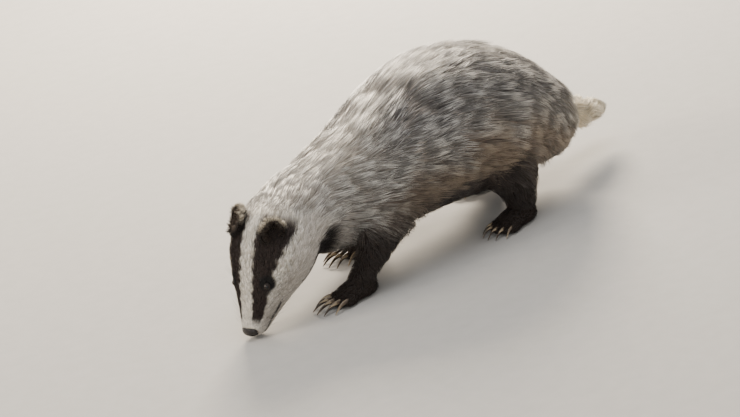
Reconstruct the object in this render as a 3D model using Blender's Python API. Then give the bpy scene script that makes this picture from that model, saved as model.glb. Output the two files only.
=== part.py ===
"""A European badger at life size, standing on four paws with its nose lowered to the ground.

Metres, +Z up, the badger faces +X and its left side is +Y. Run it with
blender --background --python part.py or from the text editor.
"""

import math
import random
from collections import namedtuple

import bmesh
import bpy
import numpy as np
from mathutils import Matrix, Vector

# Driving sizes of the adult animal, in metres
GAP = 0.0003  # kept between neighbouring nodes
FORE_PAW_LENGTH = 0.058
HIND_PAW_LENGTH = 0.062
PAW_WIDTH = 0.046
FORE_CLAW = 0.026  # length along the curve
HIND_CLAW = 0.017
EYE_RADIUS = 0.0048
EAR_HEIGHT = 0.040
TAIL_LENGTH = 0.150

# The coat: long coarse locks over a core
CORE_DEPTH = 0.52  # how far the core lies under the tips, as a share of the coat
BACK_LOCK = 0.092  # lengths of the locks
NECK_LOCK = 0.062
TAIL_LOCK = 0.060
LOCK_WIDTH = 0.052
LOCK_THICKNESS = 0.0075
LOCK_ROWS = 0.049  # apart, along the back
LOCK_COLUMNS = 0.051  # apart, around the body
ROOT_SUNK = 0.007
DROOP = 0.16  # of a lock's length that it hangs down by on the flank
BARE_FROM, BARE_TO = 1.95, 2.5  # the long coat thins out between these angles from the back
COAT_SEED = 11

TRUNK_SIDES = 22
TRUNK_RINGS = 22
HEAD_SIDES = 24
LIMB_SIDES = 12

# A section of the trunk: centre, half sizes out to the tips of the fur, and how deep the coat is there
Section = namedtuple("Section", "x y z half_height half_width coat")
TRUNK = {
    "crown": Section(0.204, 0.019, 0.094, 0.036, 0.046, 0.005),
    "skull": Section(0.183, 0.016, 0.109, 0.049, 0.054, 0.008),
    "neck": Section(0.152, 0.006, 0.121, 0.061, 0.068, 0.014),
    "breast": Section(0.105, 0.002, 0.124, 0.070, 0.078, 0.022),
    "withers": Section(0.040, 0.000, 0.132, 0.080, 0.094, 0.028),
    "ribs": Section(-0.040, 0.000, 0.147, 0.097, 0.110, 0.030),
    "loin": Section(-0.122, 0.000, 0.156, 0.109, 0.116, 0.030),
    "hips": Section(-0.200, 0.000, 0.140, 0.096, 0.108, 0.030),
    "rump": Section(-0.264, 0.000, 0.107, 0.070, 0.083, 0.026),
    "tail_root": Section(-0.308, -0.004, 0.086, 0.038, 0.042, 0.012),
}
NECK_END = 2.75  # counted in sections from the crown

# A limb joint: its place, then how far the limb reaches fore and aft, and sideways
Joint = namedtuple("Joint", "x y z fore side")
LEGS = {
    "foreleg_left": (
        Joint(0.052, 0.050, 0.130, 0.024, 0.014),
        Joint(0.058, 0.072, 0.086, 0.044, 0.024),
        Joint(0.084, 0.072, 0.054, 0.032, 0.023),
        Joint(0.112, 0.068, 0.028, 0.022, 0.022),
    ),
    "foreleg_right": (
        Joint(0.044, -0.050, 0.130, 0.024, 0.014),
        Joint(0.030, -0.074, 0.086, 0.042, 0.024),
        Joint(0.010, -0.075, 0.054, 0.030, 0.023),
        Joint(0.000, -0.072, 0.028, 0.022, 0.022),
    ),
    "hindleg_left": (
        Joint(-0.166, 0.058, 0.134, 0.028, 0.016),
        Joint(-0.152, 0.082, 0.086, 0.046, 0.027),
        Joint(-0.160, 0.084, 0.053, 0.030, 0.024),
        Joint(-0.164, 0.082, 0.027, 0.023, 0.021),
    ),
    "hindleg_right": (
        Joint(-0.192, -0.058, 0.134, 0.028, 0.016),
        Joint(-0.206, -0.082, 0.086, 0.044, 0.027),
        Joint(-0.230, -0.085, 0.053, 0.030, 0.024),
        Joint(-0.240, -0.084, 0.027, 0.023, 0.021),
    ),
}

# Degrees that each paw is turned to the left
PAW_HEADING = {"foreleg_left": -4, "foreleg_right": 8, "hindleg_left": 6, "hindleg_right": -8}


def catmull(rows, t):
    """The smooth curve through the rows, at t counted in rows."""
    rows = np.asarray(rows, float)
    last = len(rows) - 1
    i = int(min(max(math.floor(t), 0), last - 1))
    f = t - i
    before = rows[i - 1] if i > 0 else 2 * rows[0] - rows[1]
    after = rows[i + 2] if i + 2 <= last else 2 * rows[last] - rows[last - 1]
    a, b = rows[i], rows[i + 1]
    return 0.5 * (
        2 * a
        + (b - before) * f
        + (2 * before - 5 * a + 4 * b - after) * f * f
        + (3 * a - before - 3 * b + after) * f**3
    )


def smooth(x, low, high):
    """0 below low, 1 above high and an easy rise between."""
    f = min(max((x - low) / (high - low), 0.0), 1.0)
    return f * f * (3 - 2 * f)


def unit(v):
    return v / np.linalg.norm(v)


def bump(x, middle, reach):
    """1 at the middle, falling smoothly to 0 about two reaches away."""
    return math.exp(-(((x - middle) / reach) ** 2))


class Trunk:
    """Rounded sections strung from the skull to the tail root. Fur lies towards the tail."""

    SQUARENESS = 2.25  # 2 is an ellipse
    SHOULDER = (0.055, 0.040, 0.009)  # x, reach and height of the muscle under the coat
    HAUNCH = (-0.175, 0.050, 0.012)
    MUSCLE_ANGLE, MUSCLE_SPREAD = 1.75, 0.55

    def __init__(self, sections):
        self.rows = np.array([tuple(s) for s in sections])
        self.last = len(self.rows) - 1

    def frame(self, t):
        step = 0.02
        centre = catmull(self.rows, t)[:3]
        along = unit(catmull(self.rows, t + step)[:3] - catmull(self.rows, t - step)[:3])
        side = unit(np.array((0.0, 1.0, 0.0)) - along[1] * along)
        return centre, along, side, np.cross(side, along)

    def coat(self, t):
        return float(catmull(self.rows, min(t, self.last))[5])

    def depth(self, t, angle):
        """How far the core lies under the tips."""
        near_head = smooth(t, 0.9, 1.9)
        near_tail = 1 - smooth(t, self.last - 0.8, self.last)
        bare = 1 - smooth(abs(angle), BARE_FROM, BARE_TO)
        return CORE_DEPTH * self.coat(t) * near_head * near_tail * bare

    def point(self, t, angle, lift=0.0):
        """A point on the tips of the fur or lift above them, at an angle from the back to the left."""
        centre, _, side, up = self.frame(t)
        half_height, half_width = catmull(self.rows, t)[3:5]
        muscle = sum(
            height * bump(centre[0], x, reach)
            for x, reach, height in (self.SHOULDER, self.HAUNCH)
        ) * bump(abs(angle), self.MUSCLE_ANGLE, self.MUSCLE_SPREAD)
        power = 2 / self.SQUARENESS
        s, c = math.sin(angle), math.cos(angle)
        wide = math.copysign(abs(s) ** power, s) * (half_width + lift + muscle)
        high = math.copysign(abs(c) ** power, c) * (half_height + lift)
        return centre + side * wide + up * high

    def paces(self, t, angle):
        """How far the surface runs for one section, and for one radian."""
        d = 0.01
        ahead = min(t + 1.0, self.last)
        along = np.linalg.norm(self.point(ahead, angle) - self.point(ahead - 1.0, angle))
        around = self.point(t, angle + d) - self.point(t, angle - d)
        return along, np.linalg.norm(around) / (2 * d)


def new_object(name, bm):
    bmesh.ops.recalc_face_normals(bm, faces=bm.faces)
    bmesh.ops.triangulate(bm, faces=bm.faces, quad_method="FIXED")
    mesh = bpy.data.meshes.new(name)
    bm.to_mesh(mesh)
    bm.free()
    obj = bpy.data.objects.new(name, mesh)
    bpy.context.scene.collection.objects.link(obj)
    return obj


def loft(name, rings):
    """A closed skin over rings of points, each with as many points as the next, and flat ends."""
    bm = bmesh.new()
    loops = [[bm.verts.new(p) for p in ring] for ring in rings]
    count = len(loops[0])
    for near, far in zip(loops, loops[1:]):
        for i in range(count):
            j = (i + 1) % count
            bm.faces.new((near[i], near[j], far[j], far[i]))
    bm.faces.new(loops[0])
    bm.faces.new(loops[-1])
    return new_object(name, bm)


def ball(name, centre, radii, turn=None, segments=12, rings=8):
    bm = bmesh.new()
    bmesh.ops.create_uvsphere(bm, u_segments=segments, v_segments=rings, radius=1.0)
    place = Matrix.Translation(centre) @ (turn or Matrix()).to_4x4() @ Matrix.Diagonal((*radii, 1.0))
    bmesh.ops.transform(bm, matrix=place, verts=bm.verts)
    return new_object(name, bm)


def block(name, place, size):
    bm = bmesh.new()
    bmesh.ops.create_cube(bm, size=1.0)
    bmesh.ops.transform(bm, matrix=place @ Matrix.Diagonal((*size, 1.0)), verts=bm.verts)
    return new_object(name, bm)


def half_space(name, point, outward):
    """A block that fills the space on the outward side of a plane."""
    size = 1.2
    turn = Vector(outward).to_track_quat("Z", "Y").to_matrix().to_4x4()
    return block(name, Matrix.Translation(point) @ turn @ Matrix.Translation((0, 0, size / 2)), (size,) * 3)


def combine(base, others, operation):
    """Joins the others to the base, or cuts them from it, and removes them."""
    group = bpy.data.collections.new("operands")
    for other in others:
        group.objects.link(other)
    modifier = base.modifiers.new("combine", "BOOLEAN")
    modifier.operation = operation
    modifier.operand_type = "COLLECTION"
    modifier.collection = group
    modifier.solver = "MANIFOLD"
    graph = bpy.context.evaluated_depsgraph_get()
    made = bpy.data.meshes.new_from_object(base.evaluated_get(graph))
    base.modifiers.clear()
    base.data = made
    for other in others:
        bpy.data.objects.remove(other)
    bpy.data.collections.remove(group)
    return base


def copy_of(obj):
    twin = obj.copy()
    twin.data = obj.data.copy()
    bpy.context.scene.collection.objects.link(twin)
    return twin


def keep_largest(obj):
    """Leaves only the closed surface with the largest volume."""
    bm = bmesh.new()
    bm.from_mesh(obj.data)
    left = set(bm.verts)
    bodies = []
    while left:
        body = [left.pop()]
        for v in body:
            for edge in v.link_edges:
                other = edge.other_vert(v)
                if other in left:
                    left.remove(other)
                    body.append(other)
        low = np.min([v.co for v in body], axis=0)
        high = np.max([v.co for v in body], axis=0)
        bodies.append((float(np.prod(high - low)), body))
    bodies.sort(key=lambda item: item[0])
    for _, body in bodies[:-1]:
        bmesh.ops.delete(bm, geom=body, context="VERTS")
    bmesh.ops.triangulate(bm, faces=bm.faces)
    bm.to_mesh(obj.data)
    bm.free()
    return obj


# Head, in its own frame: x runs back from the nose tip, z is up from the line of the mouth
HeadSection = namedtuple("HeadSection", "back top bottom half_width")
HEAD = (
    HeadSection(0.0035, 0.0235, 0.0000, 0.0120),
    HeadSection(0.012, 0.0265, -0.0105, 0.0170),
    HeadSection(0.030, 0.0315, -0.0185, 0.0230),
    HeadSection(0.050, 0.0385, -0.0270, 0.0325),
    HeadSection(0.070, 0.0455, -0.0365, 0.0430),
    HeadSection(0.092, 0.0510, -0.0475, 0.0540),
    HeadSection(0.115, 0.0550, -0.0555, 0.0600),
    HeadSection(0.138, 0.0540, -0.0600, 0.0595),
    HeadSection(0.162, 0.0450, -0.0580, 0.0560),
    HeadSection(0.190, 0.0230, -0.0480, 0.0450),
)
HEAD_RINGS = (
    0.0035, 0.007, 0.012, 0.020, 0.030, 0.040, 0.050, 0.060, 0.070,
    0.081, 0.092, 0.104, 0.118, 0.133, 0.151, 0.170, 0.190,
)
HEAD_PITCH = math.radians(56)
HEAD_YAW = math.radians(12)
HEAD_ROLL = math.radians(-4)  # its left ear is held lower
NOSE_TIP = Vector((0.2890, 0.0370, 0.0066))
NOSE_HEIGHT = 0.013  # of the tip above the line of the mouth
MOUTH_CORNER = 0.060  # behind the nose tip
JAW_ANGLE = 0.086
LIP_RADIUS = 0.0026
EYE_BACK, EYE_ANGLE = 0.066, 0.78
# The ears, left and right: how far back, their angle from the crown and which way they point. Both are laid back
EAR_BACK = {1: 0.138, -1: 0.149}
EAR_ANGLE = {1: 0.55, -1: 0.45}
EAR_WAY = {1: Vector((-0.74, 0.22, 0.62)), -1: Vector((-0.86, 0.42, 0.28))}
NECK_PITCH = math.radians(33)  # of the plane between head and neck
NECK_BACK = 0.155


def head_place():
    """From the head's frame, with x forwards, to the world."""
    turn = Matrix.Rotation(HEAD_YAW, 4, "Z") @ Matrix.Rotation(HEAD_PITCH, 4, "Y")
    turn = turn @ Matrix.Rotation(HEAD_ROLL, 4, "X")
    return Matrix.Translation(NOSE_TIP) @ turn @ Matrix.Translation((0, 0, -NOSE_HEIGHT))


def head_section(back):
    rows = np.array([tuple(s) for s in HEAD])
    t = float(np.interp(back, rows[:, 0], range(len(rows))))
    return catmull(rows, t)


def head_point(back, angle, lift=0.0):
    """A point on the fur of the head. The angle runs from the crown, 0, to the left side."""
    _, top, bottom, half_width = head_section(back)
    middle = bottom + (top - bottom) * 0.46
    s, c = math.sin(angle), math.cos(angle)
    power = 2 / 2.15
    high = (top - middle if c > 0 else middle - bottom) + lift
    wide = math.copysign(abs(s) ** power, s) * (half_width + lift)
    return head_place() @ Vector((-back, wide, middle + math.copysign(abs(c) ** power, c) * high))


def head_normal(back, angle):
    d = 0.002
    along = head_point(back + d, angle) - head_point(back - d, angle)
    around = head_point(back, angle + 0.02) - head_point(back, angle - 0.02)
    normal = along.cross(around).normalized()
    outward = head_point(back, angle, 0.01) - head_point(back, angle)
    return normal if normal.dot(outward) > 0 else -normal


def mouth_angle(back, height):
    """The angle at which the head's side lies at a height above the line of the mouth."""
    _, top, bottom, _ = head_section(back)
    middle = bottom + (top - bottom) * 0.46
    share = (height - middle) / ((top - middle) if height > middle else (middle - bottom))
    return math.acos(math.copysign(abs(share) ** (2.15 / 2), share))


def ring_angles(count):
    return [2 * math.pi * i / count for i in range(count)]


def head_shell(name, grow=0.0):
    return loft(name, [[head_point(b, a, grow) for a in ring_angles(HEAD_SIDES)] for b in HEAD_RINGS])


def trunk_shell(name, trunk, grow=0.0, core=False):
    """The trunk out to the tips of the fur, or only its core."""
    rings = []
    for i in range(TRUNK_RINGS + 1):
        t = trunk.last * i / TRUNK_RINGS
        ring = []
        for a in ring_angles(TRUNK_SIDES):
            side = (a + math.pi) % (2 * math.pi) - math.pi
            ring.append(trunk.point(t, a, grow - (trunk.depth(t, side) if core else 0.0)))
        rings.append(ring)
    return loft(name, rings)


# Where along a lock its sections stand, how far it has risen from the core, its width and its thickness
LOCK_SECTIONS = (
    (0.00, -0.10, 0.78, 1.00),
    (0.36, 0.38, 1.00, 1.00),
    (0.72, 0.78, 0.74, 0.60),
)


def flat_lock(name, place, length, width, thickness, grow=0.0):
    """A flat, tapered lock. place(s, across, lift_share, over) gives the points along its bent path."""
    rings = []
    for s, risen, wide, thick in LOCK_SECTIONS:
        half = width / 2 * wide + grow * 8
        high = thickness / 2 * thick + grow * 1.4
        rings.append(
            [
                place(s, half, risen, 0.0),
                place(s, 0.0, risen, high),
                place(s, -half, risen, 0.0),
                place(s, 0.0, risen, -high),
            ]
        )
    bm = bmesh.new()
    loops = [[bm.verts.new(p) for p in ring] for ring in rings]
    tip = bm.verts.new(place(1.0 + grow * 12 / length, 0.0, 1.0, 0.0))
    bm.faces.new(loops[0])
    for near, far in zip(loops, loops[1:]):
        for i in range(4):
            j = (i + 1) % 4
            bm.faces.new((near[i], near[j], far[j], far[i]))
    for i in range(4):
        bm.faces.new((loops[-1][i], loops[-1][(i + 1) % 4], tip))
    return new_object(name, bm)


def trunk_lock(trunk, t, angle, length, width, lean, rest, grow=0.0):
    """A lock rooted in the trunk's core at t and angle. It lies towards the tail and hangs a little."""
    pace, around = trunk.paces(t, angle)
    side = 1 if angle > 0 else -1

    def place(s, across, risen, over):
        back = min(t + s * length / pace, trunk.last - 0.03)
        hang = side * DROOP * math.sin(min(abs(angle), 2.2)) * s**1.5 + lean * s
        turned = angle + (hang * length + across) / around
        depth = max(trunk.depth(back, turned), 0.004)
        low = ROOT_SUNK if s == 0 else 0.0
        return Vector(trunk.point(back, turned, depth * (risen * rest - 1) - low + over))

    return flat_lock("lock", place, length, width, LOCK_THICKNESS, grow)


def spine_ts(trunk, start, end, step):
    """Values of t that stand a step apart along the back."""
    ts, travelled, last = [], 0.0, None
    samples = np.linspace(start, end, 400)
    next_at = 0.0
    for t in samples:
        here = trunk.point(t, 0.0)
        if last is not None:
            travelled += np.linalg.norm(here - last)
        last = here
        if travelled >= next_at:
            ts.append(float(t))
            next_at += step
    return ts


def trunk_locks(trunk, start, end, seed, over_from=99.0):
    """The locks rooted between start and end, and swollen copies of those that reach past over_from."""
    rng = random.Random(seed)
    locks, swollen = [], []
    for row, t in enumerate(spine_ts(trunk, start, end, LOCK_ROWS)):
        _, around = trunk.paces(t, 1.2)
        widest = BARE_TO - 0.18
        count = max(3, round(2 * widest * around / LOCK_COLUMNS))
        for i in range(count):
            share = (i + 0.5 + (0.25 if row % 2 else -0.25)) / count
            angle = (2 * share - 1) * widest + rng.uniform(-0.25, 0.25) * LOCK_COLUMNS / around
            at = t + rng.uniform(-0.09, 0.09)
            if abs(angle) < 0.02:
                angle = 0.02
            ripe = smooth(at, 1.4, 4.2)
            length = (NECK_LOCK + (BACK_LOCK - NECK_LOCK) * ripe) * rng.uniform(0.88, 1.12)
            length *= 1 - 0.3 * smooth(abs(angle), 1.7, 2.4)
            width = LOCK_WIDTH * rng.uniform(0.85, 1.15) * (0.8 + 0.2 * ripe)
            lean = rng.uniform(-0.16, 0.16)
            rest = rng.uniform(0.90, 0.995)
            locks.append(trunk_lock(trunk, at, angle, length, width, lean, rest))
            pace, _ = trunk.paces(at, angle)
            if at + length / pace > over_from - 0.05:
                swollen.append(trunk_lock(trunk, at, angle, length, width, lean, rest, GAP))
    return locks, swollen


def leg_shell(name, joints, grow=0.0):
    rows = np.array([tuple(j) for j in joints])
    rings = []
    steps = 9
    for i in range(steps + 1):
        x, y, z, fore, side = catmull(rows, i * (len(rows) - 1) / steps)
        end = grow if i == 0 else (-grow if i == steps else 0.0)
        rings.append(
            [
                Vector((x + (fore + grow) * math.cos(a), y + (side + grow) * math.sin(a), z + end))
                for a in ring_angles(LIMB_SIDES)
            ]
        )
    return loft(name, rings)


def tube(name, path, radii, sides=6, flat=1.0, up=(0, 0, 1)):
    """A closed tube through the points. Flat below 1 narrows it sideways."""
    path = [Vector(p) for p in path]
    rings = []
    for i, (point, radius) in enumerate(zip(path, radii)):
        along = (path[min(i + 1, len(path) - 1)] - path[max(i - 1, 0)]).normalized()
        side = Vector(up).cross(along).normalized()
        high = along.cross(side)
        wide, tall = side * (radius * flat), high * radius
        rings.append([point + wide * math.cos(a) + tall * math.sin(a) for a in ring_angles(sides)])
    return loft(name, rings)


def claw(name, root, forward, length, radius, tip_height):
    """A horn that leaves the toe level and bends down to its tip, thinner sideways."""
    path, radii = [], []
    for s in (0.0, 0.55, 1.0):
        point = root + forward * (length * s)
        point.z = root.z + (tip_height - root.z) * s**2.2 + 0.0015 * math.sin(math.pi * s)
        path.append(point)
        radii.append(radius * (1 - s) ** 0.6 + 0.0004)
    return tube(name, path, radii, sides=5, flat=0.7)


# Where the toes stand, forward in paw lengths and sideways in paw widths
TOES = ((0.60, -0.39), (0.73, -0.21), (0.77, 0.0), (0.73, 0.21), (0.60, 0.39))


def paw_pieces(ankle, heading, length, width, claw_length, claw_radius):
    """The stub under the ankle, the sole with its pads, five toes and their claws."""
    turn = Matrix.Rotation(heading, 3, "Z")
    floor = Vector((ankle.x, ankle.y, 0))

    def at(x, y, z):
        return floor + turn @ Vector((x, y, z))

    pieces = [
        loft(
            "stub",
            [
                [
                    Vector((ankle.x, ankle.y, z))
                    + Vector((ankle.fore * k * math.cos(a), ankle.side * k * math.sin(a), 0))
                    + turn @ Vector((ahead, 0, 0))
                    for a in ring_angles(LIMB_SIDES)
                ]
                for k, z, ahead in ((1.0, ankle.z - GAP, 0.0), (0.92, 0.017, 0.002), (0.72, 0.007, 0.006))
            ],
        ),
        ball("sole", at(0.007, 0, 0.012), (0.027, width * 0.45, 0.015), turn, 10, 6),
        ball("instep", at(length * 0.34, 0, 0.012), (length * 0.42, width * 0.46, 0.0145), turn, 8, 5),
    ]
    for i, (forward, side) in enumerate(TOES):
        fan = Matrix.Rotation(side * 0.55, 3, "Z")
        centre = at(forward * length, side * width, 0.0078)
        pieces.append(ball("toe", centre, (0.0125, width * 0.128, 0.0088), turn @ fan, 6, 5))
        ahead = turn @ (fan @ Vector((1, 0, 0)))
        root = centre + ahead * 0.006 + Vector((0, 0, 0.0022))
        reach = claw_length * (0.86 if i in (0, 4) else 1.0)
        pieces.append(claw("claw", root, ahead, reach + 0.006, claw_radius, 0.0016))
    return pieces


def make_paw(name, ankle, heading, length, width, claw_length, claw_radius):
    pieces = paw_pieces(ankle, heading, length, width, claw_length, claw_radius)
    paw = combine(pieces[0], pieces[1:], "UNION")
    combine(paw, [half_space("below", (0, 0, 0), (0, 0, -1))], "DIFFERENCE")
    combine(paw, [half_space("above", (0, 0, ankle.z - GAP), (0, 0, 1))], "DIFFERENCE")
    return finish(paw, name)


def lids(side):
    """The rim of skin round one eye, long from front to back."""
    normal = head_normal(EYE_BACK, side * EYE_ANGLE)
    centre = head_point(EYE_BACK, side * EYE_ANGLE) - normal * 0.0005
    forward = (head_place().to_3x3() @ Vector((1, 0, -0.25))).normalized()
    forward = (forward - normal * forward.dot(normal)).normalized()
    across = normal.cross(forward)
    bm = bmesh.new()
    steps, sides = 14, 6
    rings = []
    for i in range(steps):
        a = 2 * math.pi * i / steps
        out = forward * math.cos(a) + across * math.sin(a)
        middle = centre + forward * (0.0062 * math.cos(a)) + across * (0.0044 * math.sin(a))
        rings.append(
            [
                bm.verts.new(middle + out * (0.0016 * math.cos(b)) + normal * (0.0019 * math.sin(b)))
                for b in ring_angles(sides)
            ]
        )
    for i in range(steps):
        for j in range(sides):
            k = (j + 1) % sides
            n = (i + 1) % steps
            bm.faces.new((rings[i][j], rings[i][k], rings[n][k], rings[n][j]))
    return new_object("lids", bm)


def eye_centre(side):
    return head_point(EYE_BACK, side * EYE_ANGLE) - head_normal(EYE_BACK, side * EYE_ANGLE) * 0.0030


def lip(height, side):
    """A thin roll of skin beside the line of the mouth."""
    path = []
    for i in range(9):
        back = 0.008 + (MOUTH_CORNER - 0.008) * i / 8
        path.append(head_point(back, side * mouth_angle(back, height), -0.0008))
    up = head_place().to_3x3() @ Vector((0, 0, 1))
    return tube("lip", path, [LIP_RADIUS * k for k in (0.7, 1, 1, 1, 1, 1, 1, 0.9, 0.6)], sides=6, up=up)


def jaw_block(grow):
    """The space under the line of the mouth, from in front of the chin back to the angle of the jaw."""
    long, tall, wide = 0.12, 0.12, 0.16
    centre = Vector((-JAW_ANGLE - grow + long / 2, 0, grow - tall / 2))
    return block("jaw_space", head_place() @ Matrix.Translation(centre), (long, wide, tall))


def make_nose():
    place = head_place()
    turn = place.to_3x3()
    pad = ball("nose", place @ Vector((-0.0085, 0, 0.0130)), (0.0095, 0.0120, 0.0105), turn, 12, 8)
    holes = []
    for side in (1, -1):
        at = place @ Vector((-0.0005, side * 0.0048, 0.0132))
        flare = turn @ Matrix.Rotation(side * -0.5, 3, "Z")
        holes.append(ball("nostril", at, (0.0050, 0.0024, 0.0028), flare, 6, 4))
        at = place @ Vector((-0.0035, side * 0.0098, 0.0115))
        holes.append(ball("slit", at, (0.0045, 0.0030, 0.0012), turn, 6, 4))
    holes.append(block("groove", place @ Matrix.Translation((0, 0, 0.0045)), (0.0120, 0.0008, 0.0100)))
    combine(pad, holes, "DIFFERENCE")
    face = place @ Vector((-HEAD[0].back + GAP, 0, 0))
    back = turn @ Vector((-1, 0, 0))
    combine(pad, [half_space("behind", face, back)], "DIFFERENCE")
    return finish(pad, "nose")


def ear_turn(side):
    """Columns: across the ear, out of its open front, up to its rim."""
    up = EAR_WAY[side].normalized()
    front = Vector((0.80, side * 0.55, 0.05))
    front = (front - up * front.dot(up)).normalized()
    across = front.cross(up)
    return head_place().to_3x3() @ Matrix((across, front, up)).transposed()


def ear_outer(side, grow=0.0):
    turn = ear_turn(side)
    centre = head_point(EAR_BACK[side], side * EAR_ANGLE[side], 0.0055)
    return ball("ear", centre, (0.0172 + grow, 0.0105 + grow, EAR_HEIGHT / 2 + grow), turn, 12, 8)


def make_ear(side, trunk):
    turn = ear_turn(side)
    ear = ear_outer(side)
    hollow_at = head_point(EAR_BACK[side], side * EAR_ANGLE[side], 0.0055) + turn @ Vector((0, 0.0075, 0.0005))
    hollow = ball("hollow", hollow_at, (0.0126, 0.0105, EAR_HEIGHT / 2 - 0.0048), turn, 10, 6)
    combine(ear, [hollow], "DIFFERENCE")
    combine(ear, [head_shell("skull_space", GAP), trunk_shell("neck_space", trunk, GAP)], "DIFFERENCE")
    return finish(ear, "ear_left" if side > 0 else "ear_right")


def neck_plane():
    """A point and the forward normal of the plane between head and neck."""
    normal = Matrix.Rotation(HEAD_YAW, 3, "Z") @ Matrix.Rotation(NECK_PITCH, 3, "Y") @ Vector((1, 0, 0))
    return head_place() @ Vector((-NECK_BACK, 0, 0)), normal


def slab(point, outward, reach, offset):
    """A block on the outward side of a plane, offset from it and reaching so far round the point."""
    depth = 0.6
    turn = Vector(outward).to_track_quat("Z", "Y").to_matrix().to_4x4()
    place = Matrix.Translation(point) @ turn @ Matrix.Translation((0, 0, depth / 2 + offset))
    return block("slab", place, (2 * reach, 2 * reach, depth))


# The tail's radius out to the tips of its fur, from inside the rump to the end
TAIL_RADII = (
    (0.00, 0.0260), (0.20, 0.0260), (0.40, 0.0255), (0.60, 0.0245),
    (0.78, 0.0210), (0.91, 0.0145), (1.00, 0.0050),
)
TAIL_ROOT = Vector((-0.275, -0.002, 0.088))
TAIL_BEND = Vector((-0.328, -0.008, 0.086))
TAIL_WAY = Vector((-0.88, -0.30, -0.30)).normalized()
TAIL_CORE = 0.60  # of its radius


def tail_frame(s):
    """Centre and directions of the tail at s, 0 at its root and 1 at its tip, with its radius."""
    tip = TAIL_BEND + TAIL_WAY * (TAIL_LENGTH - 0.040)

    def centre(u):
        return TAIL_ROOT.lerp(TAIL_BEND, u).lerp(TAIL_BEND.lerp(tip, u), u)

    along = (centre(min(s + 0.01, 1)) - centre(max(s - 0.01, 0))).normalized()
    side = Vector((0, 0, 1)).cross(along).normalized()
    radius = float(np.interp(s, [r[0] for r in TAIL_RADII], [r[1] for r in TAIL_RADII]))
    return centre(s), along, side, along.cross(side), radius


def tail_point(s, angle, lift=0.0):
    centre, _, side, up, radius = tail_frame(s)
    reach = radius + lift
    return centre + side * (reach * math.sin(angle)) + up * (reach * math.cos(angle))


def tail_shell(name, grow=0.0, share=1.0):
    """The tail out to the tips of its fur, or a share of that."""
    steps = 10
    rings = []
    for i in range(steps + 1):
        s = i / steps
        radius = tail_frame(s)[4]
        # The core runs at full size inside the rump and draws in behind it
        slim = 1 - (1 - share) * smooth(s, 0.18, 0.42)
        rings.append([tail_point(s, a, radius * (slim - 1) + grow) for a in ring_angles(12)])
    return loft(name, rings)


def tail_locks(seed):
    rng = random.Random(seed)
    whole_length = (tail_frame(1)[0] - tail_frame(0)[0]).length
    locks = []
    for row, (s0, count) in enumerate(((0.32, 5), (0.50, 6), (0.66, 5))):
        for i in range(count):
            angle = 2 * math.pi * (i + 0.5 * (row % 2)) / count + rng.uniform(-0.15, 0.15)
            length = min(TAIL_LOCK * rng.uniform(0.85, 1.1), (0.995 - s0) * whole_length)
            width = 0.027 * rng.uniform(0.9, 1.15)
            rest = rng.uniform(0.86, 0.97)

            def place(s, across, risen, over, s0=s0, angle=angle, length=length, rest=rest):
                at = min(s0 + s * length / whole_length, 0.995)
                radius = tail_frame(at)[4]
                lift = -radius * (1 - TAIL_CORE) * (1 - risen * rest) - (0.004 if s == 0 else 0.0)
                return tail_point(at, angle + across / 0.022, lift + over * 0.8)

            locks.append(flat_lock("lock", place, length, width, 0.0060))
    return locks


def finish(obj, name):
    """Keeps the one closed body and gives the node its name."""
    keep_largest(obj)
    obj.name = name
    obj.data.name = name
    for face in obj.data.polygons:
        face.use_smooth = False
    return obj


SLOTS = {
    "white_face_fur": (0.62, 0.58, 0.50),
    "grey_guard_hair": (0.20, 0.19, 0.17),
    "dark_leg_fur": (0.030, 0.024, 0.020),
    "cream_tail_fur": (0.60, 0.52, 0.38),
    "ear_skin_and_fur": (0.08, 0.06, 0.05),
    "nose_skin": (0.035, 0.022, 0.020),
    "glass_eye": (0.010, 0.007, 0.005),
}
NODE_SLOTS = {
    "head": "white_face_fur",
    "jaw": "white_face_fur",
    "nose": "nose_skin",
    "eye_left": "glass_eye",
    "eye_right": "glass_eye",
    "ear_left": "ear_skin_and_fur",
    "ear_right": "ear_skin_and_fur",
    "neck": "grey_guard_hair",
    "torso": "grey_guard_hair",
    "tail": "cream_tail_fur",
    "foreleg_left": "dark_leg_fur",
    "foreleg_right": "dark_leg_fur",
    "hindleg_left": "dark_leg_fur",
    "hindleg_right": "dark_leg_fur",
    "forepaw_left": "dark_leg_fur",
    "forepaw_right": "dark_leg_fur",
    "hindpaw_left": "dark_leg_fur",
    "hindpaw_right": "dark_leg_fur",
}


def material_for(node):
    """Each node has a material of its own in the colour of its slot."""
    slot = NODE_SLOTS[node]
    material = bpy.data.materials.new(node + "_" + slot)
    material.use_nodes = True
    shader = material.node_tree.nodes["Principled BSDF"]
    shader.inputs["Base Color"].default_value = (*SLOTS[slot], 1.0)
    shader.inputs["Roughness"].default_value = 0.08 if slot == "glass_eye" else 0.75
    return material


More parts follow.
